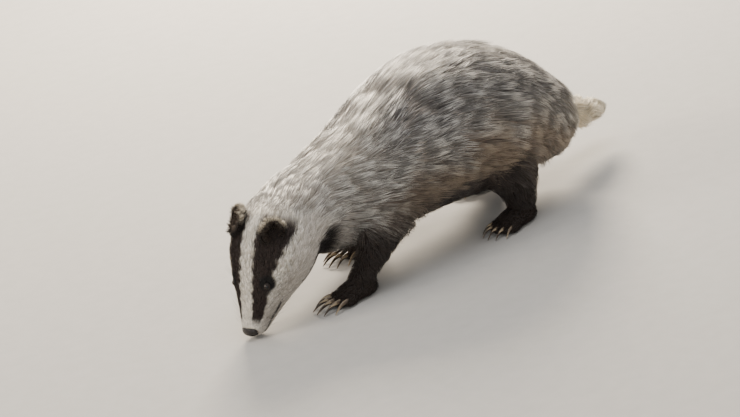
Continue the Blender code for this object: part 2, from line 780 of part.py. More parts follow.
def main():
    for obj in list(bpy.data.objects):
        bpy.data.objects.remove(obj)
    trunk = Trunk(TRUNK.values())
    nodes = []
    for name, joints in LEGS.items():
        nodes.append(finish(leg_shell(name, joints), name))
        fore = name.startswith("fore")
        heading = math.radians(PAW_HEADING[name])
        nodes.append(
            make_paw(
                name.replace("leg", "paw"),
                joints[-1],
                heading,
                FORE_PAW_LENGTH if fore else HIND_PAW_LENGTH,
                PAW_WIDTH,
                FORE_CLAW if fore else HIND_CLAW,
                0.0040 if fore else 0.0030,
            )
        )

    # One closed body from the nose to the tail root, then parted
    whole = trunk_shell("whole", trunk, core=True)
    combine(whole, [head_shell("head_shell")], "UNION")
    point, normal = neck_plane()
    head = copy_of(whole)
    combine(head, [slab(point, -normal, 0.45, -GAP / 2)], "DIFFERENCE")
    keep_largest(head)
    lips = [lip(height, side) for height in (0.0021, -0.0021) for side in (1, -1)]
    combine(head, lips + [lids(1), lids(-1)], "UNION")
    sockets = [ball("socket", eye_centre(s), (EYE_RADIUS + GAP,) * 3, None, 12, 8) for s in (1, -1)]
    combine(head, sockets, "DIFFERENCE")
    jaw = copy_of(head)
    combine(jaw, [jaw_block(-GAP / 2)], "INTERSECT")
    combine(head, [jaw_block(GAP / 2)], "DIFFERENCE")
    nodes += [finish(head, "head"), finish(jaw, "jaw"), make_nose()]
    for side, name in ((1, "eye_left"), (-1, "eye_right")):
        nodes.append(finish(ball("eye", eye_centre(side), (EYE_RADIUS,) * 3, None, 12, 8), name))
        nodes.append(make_ear(side, trunk))

    # The neck's last locks lie over the torso, which is cut clear of them
    parted = NECK_END
    centre, along, _, _ = trunk.frame(parted)
    neck = copy_of(whole)
    combine(neck, [slab(centre, along, 0.45, -GAP / 2)], "DIFFERENCE")
    locks, overhang = trunk_locks(trunk, 1.25, parted - 0.25, COAT_SEED, parted)
    combine(neck, locks, "UNION")
    spaces = [leg_shell("space", joints, GAP) for joints in LEGS.values()]
    combine(neck, spaces + [slab(point, normal, 0.11, -GAP / 2)], "DIFFERENCE")
    nodes.append(finish(neck, "neck"))
    torso = whole
    combine(torso, trunk_locks(trunk, parted + 0.12, trunk.last - 0.75, COAT_SEED + 1)[0], "UNION")
    combine(torso, [slab(centre, -along, 0.45, -GAP / 2)], "DIFFERENCE")
    spaces = [leg_shell("space", joints, GAP) for joints in LEGS.values()]
    combine(torso, spaces + [tail_shell("tail_space", GAP)] + overhang, "DIFFERENCE")
    nodes.append(finish(torso, "torso"))
    tail = tail_shell("tail", share=TAIL_CORE)
    combine(tail, tail_locks(COAT_SEED + 2), "UNION")
    nodes.append(finish(tail, "tail"))
    place_nodes(nodes)


def place_nodes(nodes):
    """Collects the nodes, gives each its own origin and centres the whole on the floor's origin."""
    collection = bpy.data.collections.new("european_badger")
    bpy.context.scene.collection.children.link(collection)
    points = np.array([v.co for node in nodes for v in node.data.vertices])
    middle = (points.min(axis=0) + points.max(axis=0)) / 2
    for node in nodes:
        pivot = Vector(np.mean([v.co for v in node.data.vertices], axis=0))
        node.data.transform(Matrix.Translation(-pivot))
        node.location = pivot - Vector((middle[0], middle[1], 0))
        node.data.materials.clear()
        node.data.materials.append(material_for(node.name))
        for other in list(node.users_collection):
            other.objects.unlink(node)
        collection.objects.link(node)


main()
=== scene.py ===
"""The looks of a European badger, standing with its nose to the ground, built round its solid model.

Metres, +Z up, the badger faces +X and its left side is +Y. All shapes are worked out in the badger's own
measures and moved onto the model's place when a piece is finished.
"""

import math
from collections import namedtuple

import bmesh
import bpy
import numpy as np
from mathutils import Matrix, Vector
from mathutils.bvhtree import BVHTree
from mathutils.kdtree import KDTree


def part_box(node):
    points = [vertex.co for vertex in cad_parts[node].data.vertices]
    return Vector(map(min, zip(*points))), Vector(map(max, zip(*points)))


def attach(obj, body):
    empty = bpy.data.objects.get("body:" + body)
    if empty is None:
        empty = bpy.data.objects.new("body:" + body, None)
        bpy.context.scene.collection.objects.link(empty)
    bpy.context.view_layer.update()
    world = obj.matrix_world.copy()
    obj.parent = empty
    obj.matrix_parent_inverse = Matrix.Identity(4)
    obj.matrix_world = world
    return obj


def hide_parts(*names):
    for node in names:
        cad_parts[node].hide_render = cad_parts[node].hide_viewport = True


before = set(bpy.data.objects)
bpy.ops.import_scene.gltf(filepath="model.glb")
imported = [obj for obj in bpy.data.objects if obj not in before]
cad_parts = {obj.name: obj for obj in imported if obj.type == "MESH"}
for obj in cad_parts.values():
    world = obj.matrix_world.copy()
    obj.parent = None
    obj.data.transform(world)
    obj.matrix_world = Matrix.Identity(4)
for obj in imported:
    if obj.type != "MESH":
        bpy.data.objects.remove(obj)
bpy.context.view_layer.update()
rng = np.random.default_rng(7)
FULL = 1.0  # share of the tufts that are made
LONG_TUFTS, FACE_TUFTS, LEG_TUFTS, TAIL_TUFTS, EAR_TUFTS = 51000, 34500, 19500, 6200, 3200

# The animal's driving sizes, the same as the solid model's
SIDES = {1: "left", -1: "right"}
FORE_PAW_LENGTH = 0.058
HIND_PAW_LENGTH = 0.062
PAW_WIDTH = 0.046
FORE_CLAW = 0.026
HIND_CLAW = 0.017
EYE_RADIUS = 0.0048
EAR_HEIGHT = 0.040
TAIL_LENGTH = 0.150
CORE_DEPTH = 0.52  # how far the skin lies under the tips of the long coat, as a share of the coat
TRUNK_SQUARENESS, HEAD_SQUARENESS = 2.25, 2.15  # 2 is an oval section
HEAD_MIDDLE = 0.46  # the height of the head's widest place, as a share of its section
LEG_FUR = 0.0035  # how far the skin of the legs lies under the fur
PAD_HEIGHT, TOE_HEIGHT = 0.0118, 0.0078  # the middles of a paw's pads and of its toes

# Sections from the crown to the tail: centre, half sizes out to the tips of the fur, depth of the coat
TRUNK = np.array(
    (
        (0.204, 0.019, 0.094, 0.036, 0.046, 0.005),  # crown
        (0.183, 0.016, 0.109, 0.049, 0.054, 0.008),  # skull
        (0.152, 0.006, 0.121, 0.061, 0.068, 0.014),  # neck
        (0.105, 0.002, 0.124, 0.070, 0.078, 0.022),  # breast
        (0.040, 0.000, 0.132, 0.080, 0.094, 0.028),  # withers
        (-0.040, 0.000, 0.147, 0.097, 0.110, 0.030),  # ribs
        (-0.122, 0.000, 0.156, 0.109, 0.116, 0.030),  # loin
        (-0.200, 0.000, 0.140, 0.096, 0.108, 0.030),  # hips
        (-0.264, 0.000, 0.107, 0.070, 0.083, 0.026),  # rump
        (-0.308, -0.004, 0.086, 0.038, 0.042, 0.012),  # root of the tail
    )
)
LAST = len(TRUNK) - 1

# Joints of each leg from the top down: place, reach fore and aft, reach sideways
LEGS = {
    "foreleg_left": (
        (0.052, 0.050, 0.130, 0.024, 0.014),
        (0.058, 0.072, 0.086, 0.044, 0.024),
        (0.084, 0.072, 0.054, 0.032, 0.023),
        (0.112, 0.068, 0.028, 0.022, 0.022),
    ),
    "foreleg_right": (
        (0.044, -0.050, 0.130, 0.024, 0.014),
        (0.030, -0.074, 0.086, 0.042, 0.024),
        (0.010, -0.075, 0.054, 0.030, 0.023),
        (0.000, -0.072, 0.028, 0.022, 0.022),
    ),
    "hindleg_left": (
        (-0.166, 0.058, 0.134, 0.028, 0.016),
        (-0.152, 0.082, 0.086, 0.046, 0.027),
        (-0.160, 0.084, 0.053, 0.030, 0.024),
        (-0.164, 0.082, 0.027, 0.023, 0.021),
    ),
    "hindleg_right": (
        (-0.192, -0.058, 0.134, 0.028, 0.016),
        (-0.206, -0.082, 0.086, 0.044, 0.027),
        (-0.230, -0.085, 0.053, 0.030, 0.024),
        (-0.240, -0.084, 0.027, 0.023, 0.021),
    ),
}
PAW_HEADING = {"foreleg_left": -4, "foreleg_right": 8, "hindleg_left": 6, "hindleg_right": -8}
TOES = ((0.60, -0.39), (0.73, -0.21), (0.77, 0.0), (0.73, 0.21), (0.60, 0.39))

# Sections of the head from the nose back: distance, top, bottom, half width
HEAD = np.array(
    (
        (0.0035, 0.0235, 0.0000, 0.0120),
        (0.012, 0.0265, -0.0105, 0.0170),
        (0.030, 0.0315, -0.0185, 0.0230),
        (0.050, 0.0385, -0.0270, 0.0325),
        (0.070, 0.0455, -0.0365, 0.0430),
        (0.092, 0.0510, -0.0475, 0.0540),
        (0.115, 0.0550, -0.0555, 0.0600),
        (0.138, 0.0540, -0.0600, 0.0595),
        (0.162, 0.0450, -0.0580, 0.0560),
        (0.190, 0.0230, -0.0480, 0.0450),
    )
)
HEAD_SPAN = 0.184  # how far back the skin of the head runs, inside the neck
HEAD_PITCH = math.radians(56)
HEAD_YAW = math.radians(12)
HEAD_ROLL = math.radians(-4)
NOSE_TIP = Vector((0.2890, 0.0370, 0.0066))
NOSE_HEIGHT = 0.013
MOUTH_FRONT, MOUTH_CORNER = 0.006, 0.060
EYE_BACK, EYE_ANGLE, EYE_SUNK = 0.066, 0.78, 0.0030
LID_LENGTH, LID_HEIGHT = 0.0050, 0.0035  # half sizes of the ring of the lids
BARE_LENGTH, BARE_HEIGHT = 0.0057, 0.0043  # half sizes of the place without fur round the eye
# The ears, left and right
EAR_BACK = {1: 0.138, -1: 0.149}
EAR_ANGLE = {1: 0.55, -1: 0.45}
EAR_WAY = {1: Vector((-0.74, 0.22, 0.62)), -1: Vector((-0.86, 0.42, 0.28))}

TAIL_SHARES = (0.00, 0.20, 0.40, 0.60, 0.78, 0.91, 1.0)
TAIL_RADII = (0.0260, 0.0260, 0.0255, 0.0245, 0.0210, 0.0145, 0.0050)
TAIL_ROOT = Vector((-0.275, -0.002, 0.088))
TAIL_BEND = Vector((-0.328, -0.008, 0.086))
TAIL_WAY = Vector((-0.88, -0.30, -0.30)).normalized()
TAIL_CORE = 0.56


def catmull(rows, t):
    """The smooth curve through the rows, at t counted in rows."""
    last = len(rows) - 1
    i = int(min(max(math.floor(t), 0), last - 1))
    f = t - i
    before = rows[i - 1] if i > 0 else 2 * rows[0] - rows[1]
    after = rows[i + 2] if i + 2 <= last else 2 * rows[last] - rows[last - 1]
    a, b = rows[i], rows[i + 1]
    return 0.5 * (
        2 * a
        + (b - before) * f
        + (2 * before - 5 * a + 4 * b - after) * f * f
        + (3 * a - before - 3 * b + after) * f**3
    )


def smooth(x, low, high):
    """0 below low, 1 above high and an easy rise between, also for arrays."""
    f = np.clip((x - low) / (high - low), 0.0, 1.0)
    return f * f * (3 - 2 * f)


def bump(x, middle, reach):
    return np.exp(-(((x - middle) / reach) ** 2))


def unit(v):
    return v / np.maximum(np.linalg.norm(v, axis=-1, keepdims=True), 1e-9)


def signed_power(x, power):
    return np.copysign(np.abs(x) ** power, x)


# The trunk
SHOULDER = (0.055, 0.040, 0.009)
HAUNCH = (-0.175, 0.050, 0.012)


def trunk_frame(t):
    centre = catmull(TRUNK, t)[:3]
    along = unit(catmull(TRUNK, t + 0.02)[:3] - catmull(TRUNK, t - 0.02)[:3])
    side = unit(np.array((0.0, 1.0, 0.0)) - along[1] * along)
    return centre, along, side, np.cross(side, along)


def skin_depth(t, angle):
    """How far the skin lies under the tips of the coat on the trunk."""
    coat = float(catmull(TRUNK, min(t, LAST))[5])
    near_head = smooth(t, 0.9, 1.9)
    near_tail = 1 - smooth(t, LAST - 0.8, LAST)
    bare = 1 - smooth(abs(angle), 1.95, 2.5)
    return max(CORE_DEPTH * coat * near_head * near_tail * bare, 0.0045)


def trunk_point(t, angle, lift=0.0):
    centre, _, side, up = trunk_frame(t)
    half_height, half_width = catmull(TRUNK, t)[3:5]
    muscle = sum(height * bump(centre[0], x, reach) for x, reach, height in (SHOULDER, HAUNCH))
    muscle *= bump(abs(angle), 1.75, 0.55)
    power = 2 / TRUNK_SQUARENESS
    wide = signed_power(math.sin(angle), power) * (half_width + lift + muscle)
    high = signed_power(math.cos(angle), power) * (half_height + lift)
    return Vector(centre + side * wide + up * high)


# The head, in its own frame: x runs forward from the nose tip, z is up from the line of the mouth
HEAD_PLACE = (
    Matrix.Translation(NOSE_TIP)
    @ Matrix.Rotation(HEAD_YAW, 4, "Z")
    @ Matrix.Rotation(HEAD_PITCH, 4, "Y")
    @ Matrix.Rotation(HEAD_ROLL, 4, "X")
    @ Matrix.Translation((0, 0, -NOSE_HEIGHT))
)
HEAD_TURN = HEAD_PLACE.to_3x3()


def head_section(back):
    return catmull(HEAD, float(np.interp(back, HEAD[:, 0], range(len(HEAD)))))


def head_point(back, angle, lift=0.0):
    _, top, bottom, half_width = head_section(back)
    middle = bottom + (top - bottom) * HEAD_MIDDLE
    power = 2 / HEAD_SQUARENESS
    high = (top - middle if math.cos(angle) > 0 else middle - bottom) + lift
    wide = signed_power(math.sin(angle), power) * (half_width + lift)
    return HEAD_PLACE @ Vector((-back, wide, middle + signed_power(math.cos(angle), power) * high))


def head_normal(back, angle):
    along = head_point(back + 0.002, angle) - head_point(back - 0.002, angle)
    around = head_point(back, angle + 0.02) - head_point(back, angle - 0.02)
    normal = along.cross(around).normalized()
    return normal if normal.dot(head_point(back, angle, 0.01) - head_point(back, angle)) > 0 else -normal


def mouth_angle(back, height):
    _, top, bottom, _ = head_section(back)
    middle = bottom + (top - bottom) * HEAD_MIDDLE
    share = (height - middle) / ((top - middle) if height > middle else (middle - bottom))
    return math.acos(math.copysign(abs(share) ** (HEAD_SQUARENESS / 2), share))


def eye_centre(side):
    return head_point(EYE_BACK, side * EYE_ANGLE) - head_normal(EYE_BACK, side * EYE_ANGLE) * EYE_SUNK


# The tail
def tail_frame(s):
    tip = TAIL_BEND + TAIL_WAY * (TAIL_LENGTH - 0.040)

    def centre(u):
        return TAIL_ROOT.lerp(TAIL_BEND, u).lerp(TAIL_BEND.lerp(tip, u), u)

    along = (centre(min(s + 0.01, 1)) - centre(max(s - 0.01, 0))).normalized()
    side = Vector((0, 0, 1)).cross(along).normalized()
    radius = float(np.interp(s, TAIL_SHARES, TAIL_RADII))
    return centre(s), along, side, along.cross(side), radius


# Where the design's measures lie in the model: the left eye tells
low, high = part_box("eye_left")
HOME = (Vector(low) + Vector(high)) / 2 - eye_centre(1)


# Colours are sRGB hex values
def srgb(code):
    channels = [int(code[i : i + 2], 16) / 255 for i in (1, 3, 5)]
    return [c / 12.92 if c <= 0.04045 else ((c + 0.055) / 1.055) ** 2.4 for c in channels]


def settled(bm, name):
    """A mesh with its faces in one fixed order, as the operators order them anew in each run."""
    bmesh.ops.recalc_face_normals(bm, faces=bm.faces)
    bm.verts.index_update()
    count = len(bm.verts)

    def order(face):
        a, b, c = sorted(v.index for v in face.verts)[:3]
        return (a * count + b) * count + c

    bm.faces.sort(key=order)
    mesh = bpy.data.meshes.new(name)
    bm.to_mesh(mesh)
    bm.free()
    return mesh


def finished(name, bm, material, *nodes, slot=None):
    """Turns a bmesh into a piece of the badger that replaces the named solids."""
    mesh = settled(bm, name)
    mesh.transform(Matrix.Translation(HOME))
    return placed(name, mesh, material, *nodes, slot=slot)


def placed(name, mesh, material, *nodes, slot=None):
    """Adds a mesh to the scene as a piece of the badger with smooth faces."""
    mesh.polygons.foreach_set("use_smooth", [True] * len(mesh.polygons))
    mesh.materials.clear()
    mesh.materials.append(material)
    piece = bpy.data.objects.new(name, mesh)
    bpy.context.scene.collection.objects.link(piece)
    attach(piece, "root")
    if nodes:
        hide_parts(*nodes)
    return piece


def wrapped(bm, around, along, place):
    """Adds a ball whose points are moved to place(s, a), s from 0 at one pole to 1 at the other."""
    made = bmesh.ops.create_uvsphere(bm, u_segments=around, v_segments=along, radius=1.0)["verts"]
    for v in made:
        s = math.acos(max(-1.0, min(1.0, v.co.z))) / math.pi
        v.co = place(s, math.atan2(v.co.y, v.co.x))


def at_pole(s):
    return s < 1e-6 or s > 1 - 1e-6


def capped(s, rings):
    """Spreads the rings of a ball evenly along a tube and keeps its poles for the flat ends."""
    return min(max((s * rings - 1) / (rings - 2), 0.0), 1.0)


# Skin: closed forms for trunk, head, legs, paws and tail, fused by a voxel remesh
SKIN_VOXEL = 0.0024
SKIN_LOWEST, LOWEST = 0.0008, 0.0010  # how far the skin and the fur stay off the floor


def add_trunk(bm):
    def place(s, a):
        t = LAST * capped(s, 90)
        if at_pole(s):
            return Vector(trunk_frame(t)[0])
        return trunk_point(t, a, -skin_depth(t, a))

    wrapped(bm, 64, 90, place)


def add_head(bm):
    def place(s, a):
        back = HEAD[0, 0] + HEAD_SPAN * capped(s, 70)
        if at_pole(s):
            return (head_point(back, 0) + head_point(back, math.pi)) / 2
        thin = 0.0012 + 0.0018 * smooth(back, 0.02, 0.09)
        return head_point(back, a, -thin)

    wrapped(bm, 64, 70, place)


def add_leg(bm, joints):
    rows = np.array(joints)

    def place(s, a):
        u = capped(s, 40)
        x, y, z, fore, side = catmull(rows, u * (len(rows) - 1))
        if at_pole(s):
            return Vector((x, y, z))
        return Vector((x + (fore - LEG_FUR) * math.cos(a), y + (side - LEG_FUR) * math.sin(a), z))

    wrapped(bm, 32, 40, place)


def paw_facts(name):
    """Ankle, turn, length, claw length and claw radius of a leg's paw."""
    x, y, z, fore, side = LEGS[name][-1]
    turn = Matrix.Rotation(math.radians(PAW_HEADING[name]), 3, "Z")
    if name.startswith("fore"):
        return Vector((x, y, z)), fore, side, turn, FORE_PAW_LENGTH, FORE_CLAW, 0.0040
    return Vector((x, y, z)), fore, side, turn, HIND_PAW_LENGTH, HIND_CLAW, 0.0030


def add_ball(bm, centre, radii, turn):
    place = Matrix.Translation(centre) @ turn.to_4x4() @ Matrix.Diagonal((*radii, 1.0))
    bmesh.ops.create_uvsphere(bm, u_segments=24, v_segments=16, radius=1.0, matrix=place)


def toe_places(name):
    """Centre, direction and turn of each toe."""
    ankle, _, _, turn, length, _, _ = paw_facts(name)
    floor = Vector((ankle.x, ankle.y, 0))
    places = []
    for forward, side in TOES:
        fan = turn @ Matrix.Rotation(side * 0.55, 3, "Z")
        centre = floor + turn @ Vector((forward * length, side * PAW_WIDTH, TOE_HEIGHT))
        places.append((centre, fan @ Vector((1, 0, 0)), fan))
    return places


def add_paw(bm, name):
    ankle, fore, side, turn, length, _, _ = paw_facts(name)
    floor = Vector((ankle.x, ankle.y, 0))

    def stub(s, a):
        u = capped(s, 12)
        z = ankle.z + 0.004 - (ankle.z - 0.003) * u
        slim = 1 - 0.30 * u**1.6
        middle = floor + turn @ Vector((0.006 * u, 0, 0)) + Vector((0, 0, z))
        if at_pole(s):
            return middle
        fore_here, side_here = (fore - LEG_FUR) * slim, (side - LEG_FUR) * slim
        return middle + Vector((fore_here * math.cos(a), side_here * math.sin(a), 0))

    wrapped(bm, 28, 12, stub)
    for ahead, radii in (
        (0.007, (0.0255, PAW_WIDTH * 0.43, 0.0135)),
        (length * 0.34, (length * 0.42, PAW_WIDTH * 0.44, 0.0130)),
    ):
        add_ball(bm, floor + turn @ Vector((ahead, 0, PAD_HEIGHT)), radii, turn)
    for centre, _, fan in toe_places(name):
        add_ball(bm, centre, (0.0128, PAW_WIDTH * 0.122, 0.0080), fan)


def add_tail(bm):
    def place(s, a):
        u = capped(s, 40)
        centre, _, side, up, radius = tail_frame(u)
        if at_pole(s):
            return centre
        slim = radius * (1 - (1 - TAIL_CORE) * float(smooth(u, 0.1, 0.35)))
        return centre + side * (slim * math.sin(a)) + up * (slim * math.cos(a))

    wrapped(bm, 28, 40, place)


def make_skin_mesh():
    bm = bmesh.new()
    add_trunk(bm)
    add_head(bm)
    add_tail(bm)
    for name, joints in LEGS.items():
        add_leg(bm, joints)
        add_paw(bm, name)
    for v in bm.verts:
        v.co.z = max(v.co.z, SKIN_LOWEST)
    source = bpy.data.objects.new("skin_source", settled(bm, "badger_skin"))
    bpy.context.scene.collection.objects.link(source)
    fuse = source.modifiers.new("fuse", "REMESH")
    fuse.mode = "VOXEL"
    fuse.voxel_size = SKIN_VOXEL
    ease = source.modifiers.new("ease", "SMOOTH")
    ease.factor = 0.5
    ease.iterations = 9
    graph = bpy.context.evaluated_depsgraph_get()
    made = bpy.data.meshes.new_from_object(source.evaluated_get(graph))
    bpy.data.objects.remove(source)
    return made


# Which part of the body a point belongs to, and how the fur lies and looks there
Spot = namedtuple("Spot", "t angle around_axis back head_angle head leg leg_share leg_turn tail tail_share")
SPINE_T = np.linspace(0, LAST, 120)
SPINE = [trunk_frame(t) for t in SPINE_T]
SPINE_C, SPINE_A, SPINE_S, SPINE_U = (np.array([f[i] for f in SPINE]) for i in range(4))
SPINE_H = np.array([catmull(TRUNK, t)[3:6] for t in SPINE_T])
TAIL_S = np.linspace(0, 1, 40)
TAIL_F = [tail_frame(s) for s in TAIL_S]
TAIL_C, TAIL_A = (np.array([tuple(f[i]) for f in TAIL_F]) for i in range(2))
TAIL_R = np.array([f[4] for f in TAIL_F])
HEAD_INV = np.array(HEAD_PLACE.inverted())
HEAD_AXES = np.array(HEAD_TURN)


def nearest(points, stations):
    best = np.empty(len(points), int)
    far = np.empty(len(points))
    for i in range(0, len(points), 20000):
        part = points[i : i + 20000]
        d = ((part[:, None, :] - stations[None, :, :]) ** 2).sum(axis=2)
        best[i : i + 20000] = d.argmin(axis=1)
        far[i : i + 20000] = np.sqrt(d.min(axis=1))
    return best, far


LEG_ROWS = {}
for leg_name, leg_joints in LEGS.items():
    LEG_ROWS[leg_name] = np.array([catmull(np.array(leg_joints), t) for t in np.linspace(0, 3, 30)])


def in_head_frame(points):
    """The points in the measures of the head's own frame."""
    return points @ HEAD_INV[:3, :3].T + HEAD_INV[:3, 3]


def spots(points):
    """Where each point lies on the body, in the measures of the trunk, head, legs and tail."""
    near, _ = nearest(points, SPINE_C)
    off = points - SPINE_C[near]
    along = (off * SPINE_A[near]).sum(axis=1)
    step = np.linalg.norm(SPINE_C[1:] - SPINE_C[:-1], axis=1).mean()
    t = np.clip(SPINE_T[near] + along / step * (SPINE_T[1] - SPINE_T[0]), 0, LAST)
    wide = (off * SPINE_S[near]).sum(axis=1) / SPINE_H[near, 1]
    tall = (off * SPINE_U[near]).sum(axis=1) / SPINE_H[near, 0]
    angle = np.arctan2(wide, tall)
    q = in_head_frame(points)
    back = -q[:, 0]
    rows = np.array([np.interp(back, HEAD[:, 0], HEAD[:, i]) for i in (1, 2, 3)])
    middle = rows[1] + (rows[0] - rows[1]) * HEAD_MIDDLE
    above = q[:, 2] - middle
    rise = np.where(above > 0, above / (rows[0] - middle), above / (middle - rows[1]))
    head_angle = np.arctan2(q[:, 1] / rows[2], rise)
    inside = np.hypot(q[:, 1] / rows[2], rise)
    head = (1 - smooth(back, 0.148, 0.172)) * (1 - smooth(inside, 1.15, 1.4))
    leg = np.full(len(points), -1)
    leg_turn = np.zeros(len(points))
    leg_near = np.full(len(points), 9.0)
    for i, rows in enumerate(LEG_ROWS.values()):
        at, _ = nearest(points, rows[:, :3])
        dx = (points[:, 0] - rows[at, 0]) / rows[at, 3]
        dy = (points[:, 1] - rows[at, 1]) / rows[at, 4]
        far = np.hypot(dx, dy)
        from_ankle = np.hypot(points[:, 0] - rows[-1, 0], points[:, 1] - rows[-1, 1])
        paw = (points[:, 2] < 0.032) & (from_ankle < 0.10)
        far = np.where(paw, 0.5, far)
        closer = far < leg_near
        leg = np.where(closer, i, leg)
        leg_near = np.where(closer, far, leg_near)
        leg_turn = np.where(closer, np.arctan2(dy, dx), leg_turn)
    leg_share = (1 - smooth(leg_near, 1.05, 1.45)) * (1 - smooth(points[:, 2], 0.076, 0.122))
    at, far = nearest(points, TAIL_C)
    tail = (1 - smooth(far / TAIL_R[at], 1.05, 1.3)) * smooth(TAIL_S[at], 0.22, 0.42)
    return Spot(t, angle, near, back, head_angle, head, leg, leg_share, leg_turn, tail, TAIL_S[at])


def lie_of_coat(points, spot):
    """The direction in which the fur lies: back from the nose, along the body, down the legs."""
    trunk = SPINE_A[spot.around_axis].copy()
    side_down = np.sin(np.minimum(np.abs(spot.angle), 2.3))
    trunk[:, 2] -= 0.34 * side_down
    head = -np.tile(HEAD_AXES[:, 0], (len(points), 1))
    cheek = smooth(np.abs(spot.head_angle), 0.9, 2.2)[:, None]
    head = head - cheek * 0.45 * HEAD_AXES[:, 2]
    leg = np.tile(np.array((-0.22, 0.0, -1.0)), (len(points), 1))
    ahead = np.zeros((len(points), 3))
    for i, name in enumerate(LEGS):
        turn = math.radians(PAW_HEADING[name])
        ahead[spot.leg == i] = (math.cos(turn), math.sin(turn), -0.25)
    paw = (1 - smooth(points[:, 2], 0.016, 0.034))[:, None]
    leg = leg * (1 - paw) + ahead * paw
    at = np.clip((spot.tail_share * (len(TAIL_S) - 1)).round().astype(int), 0, len(TAIL_S) - 1)
    flow = trunk
    for share, way in ((spot.leg_share, leg), (spot.head, head), (spot.tail, TAIL_A[at])):
        flow = flow * (1 - share[:, None]) + way * share[:, None]
    return unit(flow)


def banded(spot, points):
    """Root, band and tip colour of the hair at each spot, and how strong its dark band is."""
    n = len(points)
    root, band, tip = (np.tile(srgb(code), (n, 1)) for code in ("#a0968a", "#2f2a27", "#e0dbd1"))
    strength = np.full(n, 0.85)

    def lay(share, codes, power):
        nonlocal root, band, tip, strength
        share = np.clip(share, 0, 1)[:, None]
        root, band, tip = (
            old * (1 - share) + np.array(srgb(code)) * share for old, code in zip((root, band, tip), codes)
        )
        strength = strength * (1 - share[:, 0]) + power * share[:, 0]

    x, y, z = points.T
    wave = 0.10 * np.sin(x * 61 + z * 37) + 0.07 * np.sin(x * 143 + y * 90)
    turn = np.abs(spot.angle) + wave
    # A darker saddle lies on both sides of the spine from the ribs to the hips
    lay(0.6 * bump(turn, 0.85, 0.42) * smooth(spot.t, 3.2, 4.4), ("#837d79", "#242223", "#c3bfbc"), 0.95)
    # The flank turns from silver to warm brown, then to the dark belly
    lay(smooth(turn, 1.20, 1.70) * smooth(spot.t, 2.6, 4.0), ("#7a6757", "#3c3029", "#a39079"), 0.7)
    lay(smooth(turn, 1.95, 2.25), ("#2a211b", "#1a1512", "#3a2e25"), 0.6)
    lay((1 - smooth(spot.t, 1.8, 3.4)) * smooth(turn, 1.92, 2.20), ("#241c18", "#171210", "#30271f"), 0.6)
    # The nape and the rump are paler. The pale cream crest of the back is painted rim light: the light from
    # behind on the coat's top edge
    painted_rim_light = 0.70 * (1 - smooth(turn, 0.18, 0.55)) * smooth(spot.t, 2.0, 3.5)
    lay(painted_rim_light, ("#c3bbaf", "#857c71", "#f5efe5"), 0.45)
    nape = 0.85 * (1 - smooth(turn, 0.5, 1.1)) * (1 - smooth(spot.t, 1.6, 4.5))
    lay(nape, ("#c9c0b1", "#857b6e", "#f3ede2"), 0.35)
    lay((1 - smooth(spot.t, 2.0, 3.6)) * 0.6, ("#b3aca3", "#66605a", "#ebe6dd"), 0.5)
    rump = smooth(spot.t, 7.4, 8.6) * (1 - 0.85 * smooth(turn, 1.0, 1.6))
    lay(rump, ("#c2b69f", "#857763", "#e9dfc9"), 0.4)
    # Legs and paws
    lay(spot.leg_share, ("#2b221c", "#1b1512", "#3b2f26"), 0.5)
    # Tail
    lay(spot.tail, ("#d9cbad", "#bba98a", "#faf2e0"), 0.35)
    # Face: a white blaze from nose to nape, a dark stripe over each eye and ear, white cheeks laid greyer as
    # painted shade, dark throat
    a = np.abs(spot.head_angle)
    head = spot.head
    lay(head, ("#ddd5c6", "#cfc6b5", "#f6f1e8"), 0.2)
    # Painted shade: the white cheeks are laid greyer, as they lie in shade
    lay(head * 0.55 * smooth(a, 0.95, 1.35), ("#aea399", "#9d9288", "#c6bcb2"), 0.3)
    stations = (0.0, 0.024, 0.055, 0.095, 0.125, 0.17)
    inner = np.interp(spot.back, stations, (0.60, 0.42, 0.29, 0.18, 0.165, 0.22))
    stations = (0.0, 0.023, 0.051, 0.077, 0.104, 0.135, 0.17)
    outer = np.interp(spot.back, stations, (1.0, 1.08, 0.95, 0.83, 0.86, 1.06, 1.12))
    wobble = 0.03 * np.sin(spot.back * 400) + 0.02 * np.sin(spot.back * 970 + 1)
    stripe = smooth(a - inner + wobble, -0.04, 0.05) * (1 - smooth(a - outer + wobble, -0.06, 0.06))
    stripe *= smooth(spot.back, 0.010, 0.022) * (1 - 0.85 * smooth(spot.back, 0.142, 0.158))
    lay(head * stripe, ("#2a201b", "#181210", "#3f302a"), 0.5)
    throat = np.interp(spot.back, (0.0, 0.055, 0.084, 0.110, 0.17), (2.75, 2.35, 2.04, 1.93, 1.92))
    lay(head * smooth(a - throat + wobble, -0.05, 0.10), ("#1d1714", "#14100e", "#2a221d"), 0.5)
    # The dark stripes run on behind the ears and fade into the silver of the neck
    behind = (1 - head) * (1 - smooth(spot.t, 1.0, 2.3)) * smooth(a, 0.24, 0.40) * (1 - smooth(a, 0.9, 1.2))
    lay(behind * 0.15, ("#3a332c", "#1c1815", "#4a4239"), 0.6)
    # Round the eye
    for side in SIDES:
        near = np.linalg.norm(points - np.array(eye_centre(side)), axis=1)
        lay(1 - smooth(near, 0.008, 0.013), ("#0f0c0b", "#0a0808", "#15110f"), 0.5)
    return root, band, tip, strength


